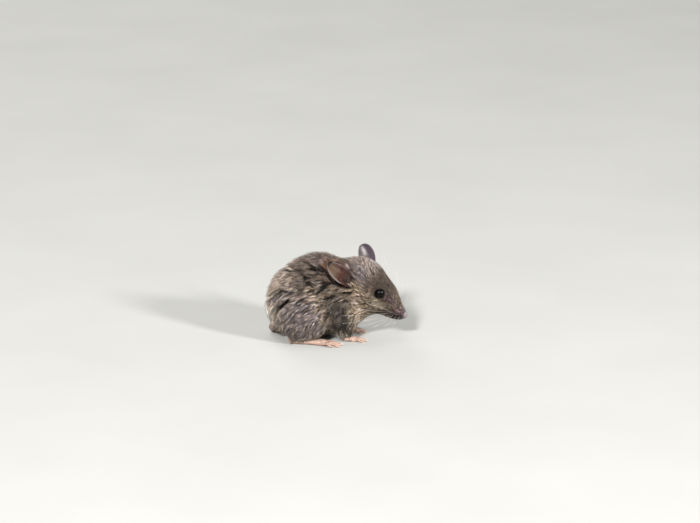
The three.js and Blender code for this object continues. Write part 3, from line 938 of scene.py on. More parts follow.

# %% [markdown]
# ## The markings
# The upper coat is agouti: each hair is slate at its root, buff above it and dark at its tip, so the animal is
# a brown that is more grey-lilac on the back and thighs, more ochre along the side, rufous behind the ears, and
# pale below. The colours could be painted on an unwrapped map, but skin and coat would then need two maps that
# agree. One rule that gives each point its colour serves both, and has no grain of its own.
# The same rule also paints light: shade under the jaw and in and beside the ears' hollows, and highlights on
# the ears' rims, the nose and the rump's edge.

# %% The colours of each part
COAT = {
    "back": "6a5f56", "haunch": "bcafa3", "nape": "7c533b", "side": "aa987f", "thigh": "938a8c",
    # the rump's edge is partly pale fur and partly a painted highlight, and the foreleg's dark partly painted
    # shade near the ground
    "rump": "b2b3aa", "rump_edge_and_highlight": "f0ece3", "belly": "c4b9a8", "foreleg": "453d36", "shoulder": "5d574f",
    "crown": "90867f", "crown_lilac": "9a9296", "forehead": "5a4d42", "cheek": "6b5f4c",
    "cheek_pale": "a5927f", "snout_side": "7c6660", "snout_ridge": "7b6c5d", "snout_dusk": "745c65",
    # among these, the jaw's near-black is painted shade, the mouth's dark partly painted shade and the nose
    # bridge's grey partly a painted highlight
    "under_eye": "aaa08a", "eye_rim": "1a1614", "chin_shade": "2c2521", "nose": "776a6e", "nose_pad": "92707a",
    "nose_bridge_and_highlight": "8b8286", "mouth": "20150f", "foot": "a68a7c", "tail": "857468", "ear_hollow": "4e3d30",
    # the ears' deepest and dusky colours are painted shade, and their rim and streak colours painted highlights
    "ear_red": "421f12", "ear_root_shade": "22120c", "ear_lilac": "62584e", "ear_rim_highlight": "867873",
    "ear_back": "675e5e", "ear_base": "63504a", "ear_side_shade": "382f36", "ear_fold_highlight": "c9c1c4",
}
COAT = {name: np.array(linear(value)) for name, value in COAT.items()}


def tint(colours, name, share):
    """The colours, moved towards a named one by each point's share."""
    return colours + (COAT[name] - colours) * np.clip(share, 0, 1)[:, None]


def painted(colours, rows):
    """The colours, with each named one of the rows laid over them in turn."""
    for name, share in rows:
        colours = tint(colours, name, share)
    return colours


print("named colours:", len(COAT))

# %% The markings of the face, with its painted shade and highlight
EAR_FRONT = {"right": np.array([3.2, 2.0, 3.0]), "left": np.array([2.6, -2.4, 1.0])}  # from an ear's root


def face_markings_and_painted_light(points, normals, head):
    """The colour at each point if it is on the face. The places are in the head's frame, in mm."""
    ahead, height = head[:, 0], head[:, 2]
    face = painted(np.tile(COAT["cheek"], (len(points), 1)), (
        ("forehead", ramp(height, -0.5, 4.5)),
        ("crown", ramp(-ahead, 15, 21) * ramp(height, 1.0, 5.0)),
    ))
    for side in SIDES:
        by_ear = np.linalg.norm(points - EAR_ROOTS[side] - EAR_FRONT[side], axis=1)
        at_root = np.linalg.norm(points - EAR_ROOTS[side], axis=1)
        face = painted(face, (
            ("crown_lilac", 0.8 * (1 - ramp(by_ear, 2.0, 5.5))),
            ("ear_red", 0.85 * (1 - ramp(at_root, 2.2, 4.0))),
        ))
    face = painted(face, (
        ("snout_side", ramp(ahead, -8.5, -4.5) * (1 - ramp(height, 0.8, 2.6))),
        ("snout_ridge", ramp(ahead, -10, -6) * ramp(height, 1.0, 2.6)),
        # painted shade: the jaw and every face that turns down are darkened as if in shadow
        ("chin_shade", 0.9 * np.maximum(ramp(-normals @ head_z, 0.1, 0.6), ramp(-height, 0.6, 2.6))),
    ))
    for side, sign in SIDES.items():
        off = head - to_head(eyes[side])
        below = ((off[:, 0] - 1.6) / 2.9) ** 2 + ((off[:, 2] + 2.5 + 0.25 * off[:, 0]) / 1.15) ** 2
        behind = ((off[:, 0] + 2.6) / 1.3) ** 2 + ((off[:, 2] + 1.2) / 1.5) ** 2
        streak = ((off[:, 0] - 4.6) / 2.6) ** 2 + ((off[:, 2] + 0.5 + 0.3 * (off[:, 0] - 4.6)) / 0.8) ** 2
        near_side = off[:, 1] * sign > -2.5
        rim = np.linalg.norm(np.cross(points - eyes[side], eye_axes[side]), axis=1)
        rim = np.where((points - eyes[side]) @ eye_axes[side] > 0, rim, 9)
        face = painted(face, (
            ("under_eye", np.exp(-(below**2)) * near_side),
            ("cheek_pale", 0.75 * np.exp(-behind) * near_side),
            ("snout_dusk", 0.8 * np.exp(-streak) * near_side),
            ("eye_rim", 1 - ramp(rim, LID_RADIUS + 0.15, LID_RADIUS + 0.45)),
        ))
    folded = np.column_stack([ahead, np.abs(head[:, 1]), height])
    # the band along the lips is partly the dark line of the mouth and partly painted shade under the snout
    lips_and_shade = ramp(ahead, -9, -6) * (1 - ramp(height, 0.5, 1.7)) * (1 - ramp(ahead, -1.4, -0.6))
    return painted(face, (
        ("nose", ramp(ahead, -3.0, -1.8)),
        ("nose_pad", np.exp(-np.sum((folded - [-3.3, 2.0, 1.3]) ** 2, axis=1) / 1.6)),
        ("mouth", lips_and_shade * 0.95),
        # the top of the nose is partly its grey fuzz and partly a painted highlight
        ("nose_bridge_and_highlight", ramp(ahead, -3.2, -1.8) * ramp(height, 1.3, 2.0)),
    ))


brow = (eyes["left"] + eyes["right"])[None] / 2
print("colour of the brow, linear:", face_markings_and_painted_light(brow, head_z[None], to_head(brow)).round(3))


# %% The markings of the body, with painted shade and highlight
def markings_and_painted_light(points, normals, part):
    """The colour at each point of the body. The places are from the datum, in mm."""
    head = to_head(points)
    on_head = part["head"] + part["nose"]
    rear, height, facing_up = -points[:, 0], points[:, 2], normals[:, 2]
    nape = ramp(points[:, 0], -4.5, -1.5) * (1 - ramp(points[:, 0], 3, 8)) * ramp(height, 20, 23)
    at_rump_height = 1 - ramp(np.abs(height - 10), 1.5, 4)
    below = ramp(-facing_up, 0.15, 0.7) * (1 - ramp(height, 7, 12)) * (1 - on_head)
    colours = painted(np.tile(COAT["side"], (len(points), 1)), (
        ("back", ramp(height, 9, 21) * ramp(facing_up, -0.1, 0.6) + 0.6 * ramp(facing_up, 0.3, 0.8)),
        ("haunch", ramp(rear, 10, 15) * ramp(height, 10, 14) * 0.9),
        ("rump", ramp(rear, 16, 23) * (1 - ramp(height, 9, 17))),
        # partly pale fur and partly a painted highlight along the rump's rear edge
        ("rump_edge_and_highlight", ramp(rear, 19, 21.5) * at_rump_height),
        ("thigh", part["hind_leg"] * 0.85),
        ("shoulder", part["foreleg"]),
        # partly dark fur and partly painted shade low on the foreleg, near the ground
        ("foreleg", part["foreleg"] * (1 - ramp(height, 6, 11))),
        ("belly", below),
        ("nape", nape * ramp(np.abs(points[:, 1]), 0.5, 4.5) * 0.85),
    ))
    face = face_markings_and_painted_light(points, normals, head)
    return colours + (face - colours) * ramp(on_head, 0.25, 0.75)[:, None]


skin_colour = markings_and_painted_light(skin_points, skin_normals, skin_part)
print("mean colour of the body, linear:", skin_colour[on_body].mean(axis=0).round(3))

# %% The markings of the ears, feet and tail, with painted shade and highlights on the ears
laid_back = on_part["ear_right"]
hollow, outside = on_ear * inside, on_ear * (1 - inside)
# a pale streak down the back of the ear: a painted highlight on its fold
streak = np.exp(-(((across + 0.32) / 0.1) ** 2)) * ramp(up_ear, 0.35, 0.6) * (1 - ramp(up_ear, 0.75, 0.95))
EAR_MARKINGS_AND_PAINTED_LIGHT = (
    ("ear_back", outside),
    ("ear_base", outside * (1 - ramp(up_ear, 0.25, 0.5))),
    # painted shade on the side of the ear's back beside its hollow
    ("ear_side_shade", outside * ramp(-across, 0.42, 0.6)),
    ("ear_fold_highlight", outside * streak),
    ("ear_hollow", hollow),
    ("ear_lilac", hollow * ramp(-across, 0.1, 0.5) * ramp(up_ear, 0.35, 0.6)),
    ("ear_red", hollow * (1 - ramp(up_ear, 0.4, 0.62)) * ramp(across, -0.8, -0.3)),
    ("ear_red", hollow * 0.6 * ramp(across, 0.3, 0.8)),
    # painted shade deep in the hollow by the root
    ("ear_root_shade", hollow * (1 - ramp(up_ear, 0.2, 0.5)) * ramp(across, -0.5, 0.1)),
    ("ear_red", outside * laid_back * 0.8 * ramp(across, -0.1, 0.4) * (1 - ramp(up_ear, 0.5, 0.85))),
    ("ear_red", outside * laid_back * 0.9 * (1 - ramp(up_ear, 0.2, 0.45))),
    # painted highlights along the ears' rims and tips
    ("ear_rim_highlight", outside * ramp(np.abs(across), 0.94, 0.98) * ramp(up_ear, 0.15, 0.35)),
    ("ear_rim_highlight", 0.8 * on_ear * ramp(up_ear, 0.96, 0.99)),
    ("ear_rim_highlight", 0.7 * hollow * ramp(-across, 0.94, 0.98)),
)
skin_colour = painted(skin_colour, (*EAR_MARKINGS_AND_PAINTED_LIGHT, ("foot", on_paw), ("tail", on_tail)))
skin_colour = smoothed(skin_colour, skin_edges, 3)
print("mean colour of the skin, linear:", skin_colour.mean(axis=0).round(3))

# %% [markdown]
# ## An unwrap of the skin
# A bake needs a place on a flat map for every face. Seams could be marked by hand along the belly and the legs,
# but no one will paint on this map, so Blender may cut it where it likes. It also gives each tuft its place:
# every tuft is a tiny patch where its root is.

# %% Unwrap
skin_object = new_object("skin", skin)
bpy.context.view_layer.objects.active = skin_object
skin_object.select_set(True)
bpy.ops.object.mode_set(mode="EDIT")
bpy.ops.mesh.select_all(action="SELECT")
bpy.ops.uv.smart_project(angle_limit=math.radians(72), island_margin=0.002)
bpy.ops.object.mode_set(mode="OBJECT")
skin = skin_object.data
corner_uv = np.empty(len(skin.loops) * 2, np.float32)
skin.uv_layers[0].data.foreach_get("uv", corner_uv)
corner_uv = corner_uv.reshape(-1, 2).astype(float)
skin.uv_layers[0].name = "OFBake"
print("unwrap from", corner_uv.min(0).round(3), "to", corner_uv.max(0).round(3))

# %% [markdown]
# ## The coat
# A mouse has tens of thousands of fine hairs. Hair curves would draw them well, but they have no surface that
# can be measured or made, and a bump in the finish has no outline and no gaps. So the coat is tufts of six
# tapering strands, each strand a closed sliver of ten triangles. Every tuft stands at a root on the skin, is
# turned to the lie of the coat, and is bent twice: down on to the skin's curve, and in towards the middle of
# its lock, which opens dark gaps between locks. The roots and bends are worked out here, and Geometry Nodes
# plant the tufts and keep each one's place for a bake.
# The edges of the locks and the gaps of the coat are also darkened with painted shade.

# %% Roots on the skin
skin.calc_loop_triangles()


def of_triangles(what):
    values = np.empty(len(skin.loop_triangles) * 3, np.int32)
    skin.loop_triangles.foreach_get(what, values)
    return values.reshape(-1, 3)


corners, loops = of_triangles("vertices"), of_triangles("loops")
first, second, third = skin_points[corners].transpose(1, 0, 2)
area = np.linalg.norm(np.cross(second - first, third - first), axis=1) / 2
print("skin, mm2:", area.sum().round(0))
skin_tree = BVHTree.FromPolygons(skin_points.tolist(), corners.tolist())


def scatter(density, seed):
    """Roots at so many a square millimetre, by the density at each vertex, spread evenly."""
    rng = np.random.default_rng(seed)
    expected = np.cumsum(area * density[corners].mean(axis=1))
    count = int(expected[-1])
    picks = np.searchsorted(expected, np.arange(count) + rng.uniform(0, 1, count))
    picks = np.minimum(picks, len(area) - 1)
    a, b = rng.uniform(size=(2, count))
    flip = a + b > 1
    a, b = np.where(flip, 1 - a, a), np.where(flip, 1 - b, b)
    return picks, np.column_stack([1 - a - b, a, b])


def at_roots(values, picks, weights):
    return np.einsum("nk,nk...->n...", weights, values[corners[picks]])


# %% How dense, how long and how deep the coat is
BODY_DENSITY, FACE_DENSITY, SNOUT_DENSITY, EYE_DENSITY = 5.0, 9.0, 3.0, 2.0  # tufts to a square millimetre
BODY_LENGTH, SHORTER_ON_FACE, SHORTER_ON_SNOUT, SHORTER_BY_EYE = 3.15, 1.85, 0.3, 0.3  # mm
SHORTER_ON_LEGS = 0.45  # of its length, down at the ankles
SHALLOWEST, DEEPEST, RIDGE_LIFT = 0.12, 3.2, 0.22  # mm
skin_head = to_head(skin_points)
face_share = smoothed(((skin_part["head"] + skin_part["nose"]) > 0.5) * on_body, skin_edges, 3)
from_eye = np.min([np.linalg.norm(skin_points - eyes[side], axis=1) for side in SIDES], axis=0)
gap_to_surface = np.array([envelope.find_nearest(Vector(p))[3] for p in skin_points]) - CLOSING
snout = ramp(skin_head[:, 0], -12, -3) * face_share
around_eye = (1 - ramp(from_eye, 2.2, 4.6)) * face_share
length = BODY_LENGTH - SHORTER_ON_FACE * face_share - SHORTER_ON_SNOUT * snout - SHORTER_BY_EYE * around_eye
on_leg = skin_part["foreleg"] + skin_part["hind_leg"]
length *= 1 - SHORTER_ON_LEGS * (1 - ramp(skin_points[:, 2], 2.5, 8)) * on_leg
length = smoothed(length, skin_edges, 4)
ridge = snout * ramp(skin_head[:, 2], 1.5, 3.0) * (1 - ramp(skin_head[:, 0], -5, -3))
deep = np.clip(gap_to_surface, SHALLOWEST, DEEPEST) * (1 - 0.5 * around_eye) + RIDGE_LIFT * ridge
print("gap to the solids:", np.percentile(gap_to_surface[on_body], [5, 25, 50, 75, 95]).round(2))
density = BODY_DENSITY + FACE_DENSITY * face_share + SNOUT_DENSITY * snout + EYE_DENSITY * around_eye
bare = ramp(skin_head[:, 0], -2.0, -1.4) * face_share
lid_band = 1 - ramp(from_eye, 1.95, 2.15)
density *= (1 - bare) * (1 - lid_band * face_share) * (body_share > 0.6)
print("coat, mm: length", length[on_body].min().round(2), "to", length[on_body].max().round(2))

# %% Fine hair on the ears, feet and tail
FINE_DENSITY = {"ear": 6.0, "ear_fur": 8.0, "foot": 5.0, "tail": 5.0}
behind_ear = outside * (1 - ramp(up_ear, 0.25, 0.75))
top_edge = on_part["ear_right"] * ramp(across, 0.3, 0.7)
ear_fur = np.clip(np.maximum(np.maximum(over_ear, behind_ear), top_edge), 0, 1)
fine_density = on_ear * (FINE_DENSITY["ear"] + FINE_DENSITY["ear_fur"] * ear_fur)
fine_density = fine_density + on_paw * FINE_DENSITY["foot"] * (skin_normals[:, 2] > -0.3)  # none on the soles
fine_density = (fine_density + on_tail * FINE_DENSITY["tail"]) * (body_share < 0.4)
print("points with ear fur:", int(np.sum(ear_fur > 0.5)))


# %% Where a tip comes down
def follow(roots, directions, reach):
    """Where a hair's tip comes down: so far along the lie, on the skin, with the skin's normal there."""
    tips, tip_normals = np.empty_like(roots), np.empty_like(roots)
    for i, target in enumerate(roots + directions * reach[:, None]):
        place, normal, _, _ = skin_tree.find_nearest(Vector(target))
        tips[i], tip_normals[i] = place, normal
    return tips, tip_normals


tips, _ = follow(skin_points[:1], lie[:1], length[:1])
print("the first tip is", np.linalg.norm(tips - skin_points[:1]).round(2), "mm from its root")

# %% Locks
NEAR_LOCKS = 9  # how many locks are tried for each root


def locks(roots, directions, normals, spacing, seed, stretch=0.34):
    """The way from each root in to the line of its lock, the lock's own chance, and 1 at its edge."""
    rng = np.random.default_rng(seed)
    order = rng.permutation(len(roots))
    tree = search_tree(roots)
    taken = np.zeros(len(roots), bool)
    seeds = []
    for i in order:
        if not taken[i]:
            seeds.append(i)
            for _, j, _ in tree.find_range(roots[i], spacing[i]):
                taken[j] = True
    seeds = np.array(seeds)
    seed_tree = search_tree(roots[seeds])
    chances = rng.uniform(size=len(seeds))
    inward = np.zeros_like(roots)
    chance = np.zeros(len(roots))
    edge = np.zeros(len(roots))
    for i, p in enumerate(roots):
        near = [j for _, j, _ in seed_tree.find_n(p, NEAR_LOCKS)]
        offset = roots[seeds[near]] - p
        along = offset @ directions[i]
        sideways = offset - np.outer(along, directions[i]) - np.outer(offset @ normals[i], normals[i])
        distance = np.sqrt(np.sum(sideways**2, axis=1) + (along * stretch) ** 2)
        first, second = np.argsort(distance)[:2]
        inward[i] = sideways[first]
        chance[i] = chances[near[first]]
        edge[i] = distance[first] / max(distance[second], 1e-6)
    return inward, chance, edge


print("locks tried for each root:", NEAR_LOCKS)

# %% Light and dark wisps
WISP_CHANCES, WISP_VALUES = [0, 0.14, 0.32, 0.6, 0.78, 0.92, 1], [0.3, 0.48, 0.78, 1.0, 1.28, 1.6, 2.0]
PALE_WISP, MOST_PALE = np.array(linear("d6ccc9")), 0.55
DARK_WISP, MOST_DARK = np.array(linear("3a2e26")), 0.3


def in_wisps(colours, chance):
    """Each tuft's colour, lighter and greyer or darker and browner by the chance of its wisp."""
    value = np.interp(chance, WISP_CHANCES, WISP_VALUES)[:, None]
    value = value ** (1 - 0.5 * ramp(colours.mean(axis=1), 0.28, 0.4))[:, None]  # less where the coat is pale
    pale = ramp(chance, 0.65, 0.95)[:, None] * MOST_PALE
    dark = (1 - ramp(chance, 0, 0.25))[:, None] * MOST_DARK
    colours = colours * value
    greyed = PALE_WISP * colours.mean(axis=1, keepdims=True) / PALE_WISP.mean()
    colours = colours + (greyed - colours) * pale
    return colours + (DARK_WISP - colours) * dark


sample = in_wisps(np.tile(COAT["side"], (3, 1)), np.array([0.1, 0.5, 0.9]))
print("a dark, a middling and a light wisp, linear:", sample.round(2).tolist())

# %% Plan the tufts
BROAD_SWERVE, FINE_SWERVE, CHANCE_SWERVE = 0.30, 0.16, 0.09  # how far a tuft turns aside for each step ahead
BROAD_WAVE, FINE_WAVE = 1.9, 0.8  # mm


def plan(density, seed):
    """Each tuft's root, turn, length, height, colour and place on the unwrap, as arrays."""
    rng = np.random.default_rng(seed)
    picks, weights = scatter(density, seed)
    roots = at_roots(skin_points, picks, weights)
    up = unit(at_roots(skin_normals, picks, weights))
    heading = along_surface(at_roots(lie, picks, weights), up)
    side = np.cross(up, heading)
    swerve = BROAD_SWERVE * waves(roots, BROAD_WAVE, 11) + FINE_SWERVE * waves(roots, FINE_WAVE, 12)
    swerve = swerve + rng.normal(0, CHANCE_SWERVE, len(roots))
    heading = unit(heading + side * swerve[:, None])
    reach = at_roots(length, picks, weights) * rng.uniform(0.82, 1.15, len(roots))
    height = at_roots(deep, picks, weights) * rng.uniform(0.9, 1.1, len(roots))
    uv = np.einsum("nk,nkc->nc", weights, corner_uv[loops[picks]])
    return {
        "roots": roots, "up": up, "heading": heading, "reach": reach, "height": height, "uv": uv,
        "colour": at_roots(skin_colour, picks, weights), "face": at_roots(face_share, picks, weights),
        "ear_fur": at_roots(ear_fur, picks, weights), "rng": rng,
    }


print("tufts to plan on the body:", int(np.sum(area * density[corners].mean(axis=1))))

# %% Where a tuft would pass through an ear
BEND_POWER = 1.7  # how late along a tuft its bend comes
RISE_POWER = 2.1  # how early it rises


def strand_at(coat, share):
    """Where each tuft's middle strand is, so much of the way from its root to its tip."""
    level = coat["roots"] + coat["heading"] * (coat["reach"] * share)[:, None]
    risen = coat["up"] * (coat["height"] * (1 - (1 - min(share, 1)) ** RISE_POWER))[:, None]
    return level + risen + coat["bend"] * share**BEND_POWER


def covered(starts, ends):
    """Which straight ways from a root to its tip pass through an ear."""
    hit = np.zeros(len(starts), bool)
    for side in SIDES:
        near = np.linalg.norm(starts - EAR_ROOTS[side], axis=1) < EAR["length"] + 4
        for i in np.flatnonzero(near):
            way = ends[i] - starts[i]
            reach = float(np.linalg.norm(way))
            hit[i] |= PARTS[f"ear_{side}"].ray_cast(Vector(starts[i]), Vector(way), reach)[0] is not None
    return hit


print("halfway along, a tuft has", round(0.5**BEND_POWER, 2), "of its bend")

# %% Bend the tufts
HANG = 1.2  # mm that the hair at the edge of the belly hangs below its skin
LOCK_SPACING = (0.8, 0.36)  # mm, on the body and on the face
LOCK_PULL = 0.52
WISP_SPACING, FINER_ON_FACE = 0.34, 0.1
TRIED_LENGTHS = (1.2, 1.05, 0.9, 0.75, 0.6, 0.45, 0.3, 0.15)
SHORTEST = 0.1
LAID_FLAT = {"reach": 0.55, "height": 0.25, "bend": 0.25}  # what is left of a tuft that an ear lies on
# darker at the edge of a lock and in a gap is painted shade
EDGE_FROM, LOWER_AT_EDGE, DARKER_AT_EDGE = 0.66, 0.34, 0.5  # at the edge of a lock
LOWER_IN_GAP, DARKER_IN_GAP, GAP_LEAN = 0.5, 0.4, 0.8  # at a gap in the coat
BARE_GAP, TIP_GAP = 0.5, 0.45  # how open the coat is where no root stands, and where no tip ends
WISP_BLUR = 0.26  # how far a tuft's value may be from that of its wisp


def bend(coat):
    """Bend each tuft on to the skin and into its lock; painted shade darkens it at the lock's edge and in a
    gap.
    """
    rng = coat.pop("rng")
    furry = coat["face"] < 0.5
    kept = (parting(coat["roots"])[0] < BARE_GAP) | ~furry
    coat = {name: values[kept] for name, values in coat.items()}
    roots, up, heading = coat["roots"], coat["up"], coat["heading"]
    tips, tip_up = follow(roots, heading, coat["reach"])
    level = roots + heading * coat["reach"][:, None] + up * coat["height"][:, None]
    coat["bend"] = tips + tip_up * coat["height"][:, None] - level
    spacing = LOCK_SPACING[0] + (LOCK_SPACING[1] - LOCK_SPACING[0]) * coat["face"]
    inward, chance, edge = locks(roots, heading, up, spacing, 21)
    gape, lean = parting(roots + heading * coat["reach"][:, None] * 0.5)
    gape = gape * (1 - ramp(coat["face"], 0.2, 0.8))
    lean = lean * (gape > 0.01)[:, None]
    pull = LOCK_PULL * (1 - 0.5 * coat["face"])
    coat["bend"] += inward * pull[:, None] + along_surface(lean, up) * GAP_LEAN
    coat["bend"][:, 2] -= HANG * (1 - ramp(roots[:, 2], 3, 7.5)) * (1 - coat["face"])
    at_edge = ramp(edge, EDGE_FROM, 1.0)
    coat["height"] = coat["height"] * (1 - LOWER_AT_EDGE * at_edge) * (1 - LOWER_IN_GAP * gape)
    under_ear = covered(roots + up * 0.05, strand_at(coat, 1.0))
    for name, share in LAID_FLAT.items():
        coat[name][under_ear] *= share
    allowed = np.ones(len(roots))
    for share in TRIED_LENGTHS:
        in_gap = (parting(strand_at(coat, share))[0] > TIP_GAP) & (coat["face"] < 0.5)
        allowed = np.where(in_gap, min(share, 1.0) - 0.2, allowed)
    coat["reach"] = coat["reach"] * np.maximum(allowed, SHORTEST)
    coat["bend"] = coat["bend"] * np.maximum(allowed, SHORTEST)[:, None]
    _, wisp, _ = locks(roots, heading, up, WISP_SPACING - FINER_ON_FACE * coat["face"], 22, 0.28)
    # painted shade at the lock's edge and in a gap, times the lock's own tone
    coat["shade"] = (1 - DARKER_AT_EDGE * at_edge) * (1 - DARKER_IN_GAP * gape) * (0.8 + 0.4 * chance)
    wisp = np.clip(wisp + rng.normal(0, WISP_BLUR, len(roots)), 0, 1)
    coat["colour"] = in_wisps(coat["colour"], wisp)
    return {name: values[allowed > SHORTEST] for name, values in coat.items()}


body_coat = bend(plan(density, 3))
print("tufts:", len(body_coat["roots"]), "with a mean shade of", body_coat["shade"].mean().round(2))

# %% Plan the fine tufts
fine_coat = plan(fine_density, 4)
furred, rng = fine_coat["ear_fur"], fine_coat["rng"]
reach = rng.uniform(0.4, 0.75, len(furred)) + furred * rng.uniform(0.8, 1.4, len(furred))
fine_coat["reach"], fine_coat["height"] = reach, reach * (0.2 + 0.1 * furred)
fine_coat["colour"] = in_wisps(fine_coat["colour"], rng.uniform(0.12, 0.6 + 0.38 * furred))
tips, _ = follow(fine_coat["roots"], fine_coat["heading"], reach)
fine_coat["bend"] = tips - (fine_coat["roots"] + fine_coat["heading"] * reach[:, None])
fine_coat["shade"] = 0.7 + 0.5 * rng.uniform(size=len(furred))
print("fine tufts on ears, feet and tail:", len(furred))

# %% Values on a mesh, and faces turned outwards
FIELDS = {
    "FLOAT": "value", "INT": "value", "FLOAT_VECTOR": "vector", "FLOAT2": "vector", "FLOAT_COLOR": "color",
}


def give(mesh, name, values, kind="FLOAT"):
    """Store one value for each vertex, as an attribute that nodes and materials can read."""
    as_type = np.int32 if kind == "INT" else np.float32
    flat = np.asarray(values).astype(as_type).ravel()
    mesh.attributes.new(name, kind, "POINT").data.foreach_set(FIELDS[kind], flat)


def turn_outwards(mesh, in_triangles=False):
    """Turn the faces of closed shells outwards."""
    soup = bmesh.new()
    soup.from_mesh(mesh)
    bmesh.ops.recalc_face_normals(soup, faces=soup.faces)
    if in_triangles:
        bmesh.ops.triangulate(soup, faces=soup.faces)
    soup.to_mesh(mesh)
    soup.free()


print("kinds of value:", list(FIELDS))

# %% A tuft
STRANDS = 6
STRAND_WIDTH = 0.021  # of the tuft's length
VARIANTS = 5
FINE_STRANDS, FINE_VARIANTS, FINE_SEED = 3, 3, 40


def tuft(seed, strands=STRANDS):
    """Six slivers that spring from one root, lying along x and rising to 1 in z, each sliver closed."""
    rng = np.random.default_rng(seed)
    points, faces, along, strand, patch = [], [], [], [], []
    for k in range(strands):
        start = [rng.uniform(-0.07, 0.07), rng.uniform(-0.075, 0.075)]
        reach, rise, yaw = rng.uniform(0.74, 1.06), rng.uniform(0.75, 1.05), rng.normal(0, 0.05)
        if k == 0:
            reach, rise = 1.18, 1.3  # a guard hair, longer than the rest
        width = STRAND_WIDTH * rng.uniform(0.75, 1.2)
        first = len(points)
        for t, wide in ((0.0, 1.0), (0.5, 0.9)):
            aside = start[1] * (1 - 0.4 * t) + yaw * t
            middle = np.array([start[0] + reach * t, aside, rise * (1 - (1 - t) ** RISE_POWER)])
            for y, z in ((-1, -0.5), (1, -0.5), (0, 1.0)):
                points.append(middle + [0, y * wide * width, z * wide * width * 1.4])
                along.append(t)
                patch.append((t * 0.9, (k + 0.5 + 0.35 * y) / strands))
        points.append([start[0] + reach, start[1] * 0.6 + yaw, rise])
        along.append(1.0)
        patch.append((1.0, (k + 0.5) / strands))
        strand += [rng.uniform()] * 7
        a, b, c, d, e, f, tip = range(first, first + 7)
        faces += [(a, c, b), (a, b, e, d), (b, c, f, e), (c, a, d, f), (d, e, tip), (e, f, tip), (f, d, tip)]
    mesh = mesh_of(points, faces)
    turn_outwards(mesh, in_triangles=True)
    give(mesh, "along", along)
    give(mesh, "strand", strand)
    give(mesh, "patch", patch, "FLOAT2")
    return mesh


tufts = bpy.data.collections.new("tufts")
for variant in range(VARIANTS):
    tufts.objects.link(bpy.data.objects.new(f"tuft_{variant}", tuft(variant)))
fine_tufts = bpy.data.collections.new("fine_tufts")
for variant in range(FINE_VARIANTS):
    name = f"fine_tuft_{variant}"
    fine_tufts.objects.link(bpy.data.objects.new(name, tuft(FINE_SEED + variant, FINE_STRANDS)))

# %% The tree that plants the tufts
PATCH_WIDTH = 0.003  # of the unwrap, for each tuft's place in a bake


def planting_tree():
    tree = bpy.data.node_groups.new("plant_tufts", "GeometryNodeTree")
    face = tree.interface
    face.new_socket("Roots", in_out="INPUT", socket_type="NodeSocketGeometry")
    face.new_socket("Tufts", in_out="INPUT", socket_type="NodeSocketCollection")
    face.new_socket("Finish", in_out="INPUT", socket_type="NodeSocketMaterial")
    for name, value in (("Bend Power", BEND_POWER), ("Patch Width", PATCH_WIDTH)):
        face.new_socket(name, in_out="INPUT", socket_type="NodeSocketFloat").default_value = value
    face.new_socket("Coat", in_out="OUTPUT", socket_type="NodeSocketGeometry")
    given = add_node(tree, "NodeGroupInput").outputs

    carried = {}
    for name, kind in (
        ("up", "FLOAT_VECTOR"), ("heading", "FLOAT_VECTOR"), ("size", "FLOAT_VECTOR"), ("bend", "FLOAT_VECTOR"),
        ("root_uv", "FLOAT_VECTOR"), ("patch", "FLOAT_VECTOR"), ("along", "FLOAT"), ("variant", "INT"),
    ):
        node = add_node(tree, "GeometryNodeInputNamedAttribute", {"Name": name}, data_type=kind)
        carried[name] = node.outputs["Attribute"]
    picked = add_node(tree, "GeometryNodeCollectionInfo", {
        "Collection": given["Tufts"], "Separate Children": True, "Reset Children": True})
    upright = add_node(tree, "FunctionNodeAlignRotationToVector", {"Vector": carried["up"]}, axis="Z")
    turned = add_node(tree, "FunctionNodeAlignRotationToVector", {
        "Rotation": upright.outputs[0], "Vector": carried["heading"]}, axis="X", pivot_axis="Z")
    planted = add_node(tree, "GeometryNodeInstanceOnPoints", {
        "Points": given["Roots"], "Instance": picked.outputs[0], "Pick Instance": True,
        "Instance Index": carried["variant"], "Rotation": turned.outputs[0],
        "Scale": carried["size"]})
    real = add_node(tree, "GeometryNodeRealizeInstances", {"Geometry": planted.outputs[0]})
    power = add_node(tree, "ShaderNodeMath", {0: carried["along"], 1: given["Bend Power"]}, operation="POWER")
    shift = add_node(tree, "ShaderNodeVectorMath", {
        0: carried["bend"], "Scale": power.outputs[0]}, operation="SCALE")
    bent = add_node(tree, "GeometryNodeSetPosition", {
        "Geometry": real.outputs[0], "Offset": shift.outputs[0]})
    spread = add_node(tree, "ShaderNodeVectorMath", {
        0: carried["patch"], "Scale": given["Patch Width"]}, operation="SCALE")
    place = add_node(tree, "ShaderNodeVectorMath", {
        0: carried["root_uv"], 1: spread.outputs[0]}, operation="ADD")
    mapped = add_node(tree, "GeometryNodeStoreNamedAttribute", {
        "Geometry": bent.outputs[0], "Name": "OFBake", "Value": place.outputs[0]},
        data_type="FLOAT2", domain="CORNER")
    finished = add_node(tree, "GeometryNodeSetMaterial", {
        "Geometry": mapped.outputs[0], "Material": given["Finish"]})
    add_node(tree, "NodeGroupOutput", {"Coat": finished.outputs[0]})
    return tree


planting = planting_tree()
print("nodes in the planting tree:", len(planting.nodes))


# %% A mesh made by a tree
def sockets_of(tree):
    """Each input's identifier, by its name."""
    return {s.name: s.identifier for s in tree.interface.items_tree if s.in_out == "INPUT"}


def made_by(tree, name, mesh, inputs):
    """The plain mesh that a tree of nodes makes from a mesh of points or lines."""
    obj = new_object(name, mesh)
    nodes = obj.modifiers.new("nodes", "NODES")
    nodes.node_group = tree
    sockets = sockets_of(tree)
    for socket, value in inputs.items():
        nodes[sockets[socket]] = value
    result = plain_mesh(obj)
    result.name = name
    return result


print("inputs of the planting tree:", list(sockets_of(planting)))

# %% Plant one piece of the coat
FLOOR_CLEARANCE, PRESSED = 0.05, 0.02  # mm, and how much of its height a hair keeps below that


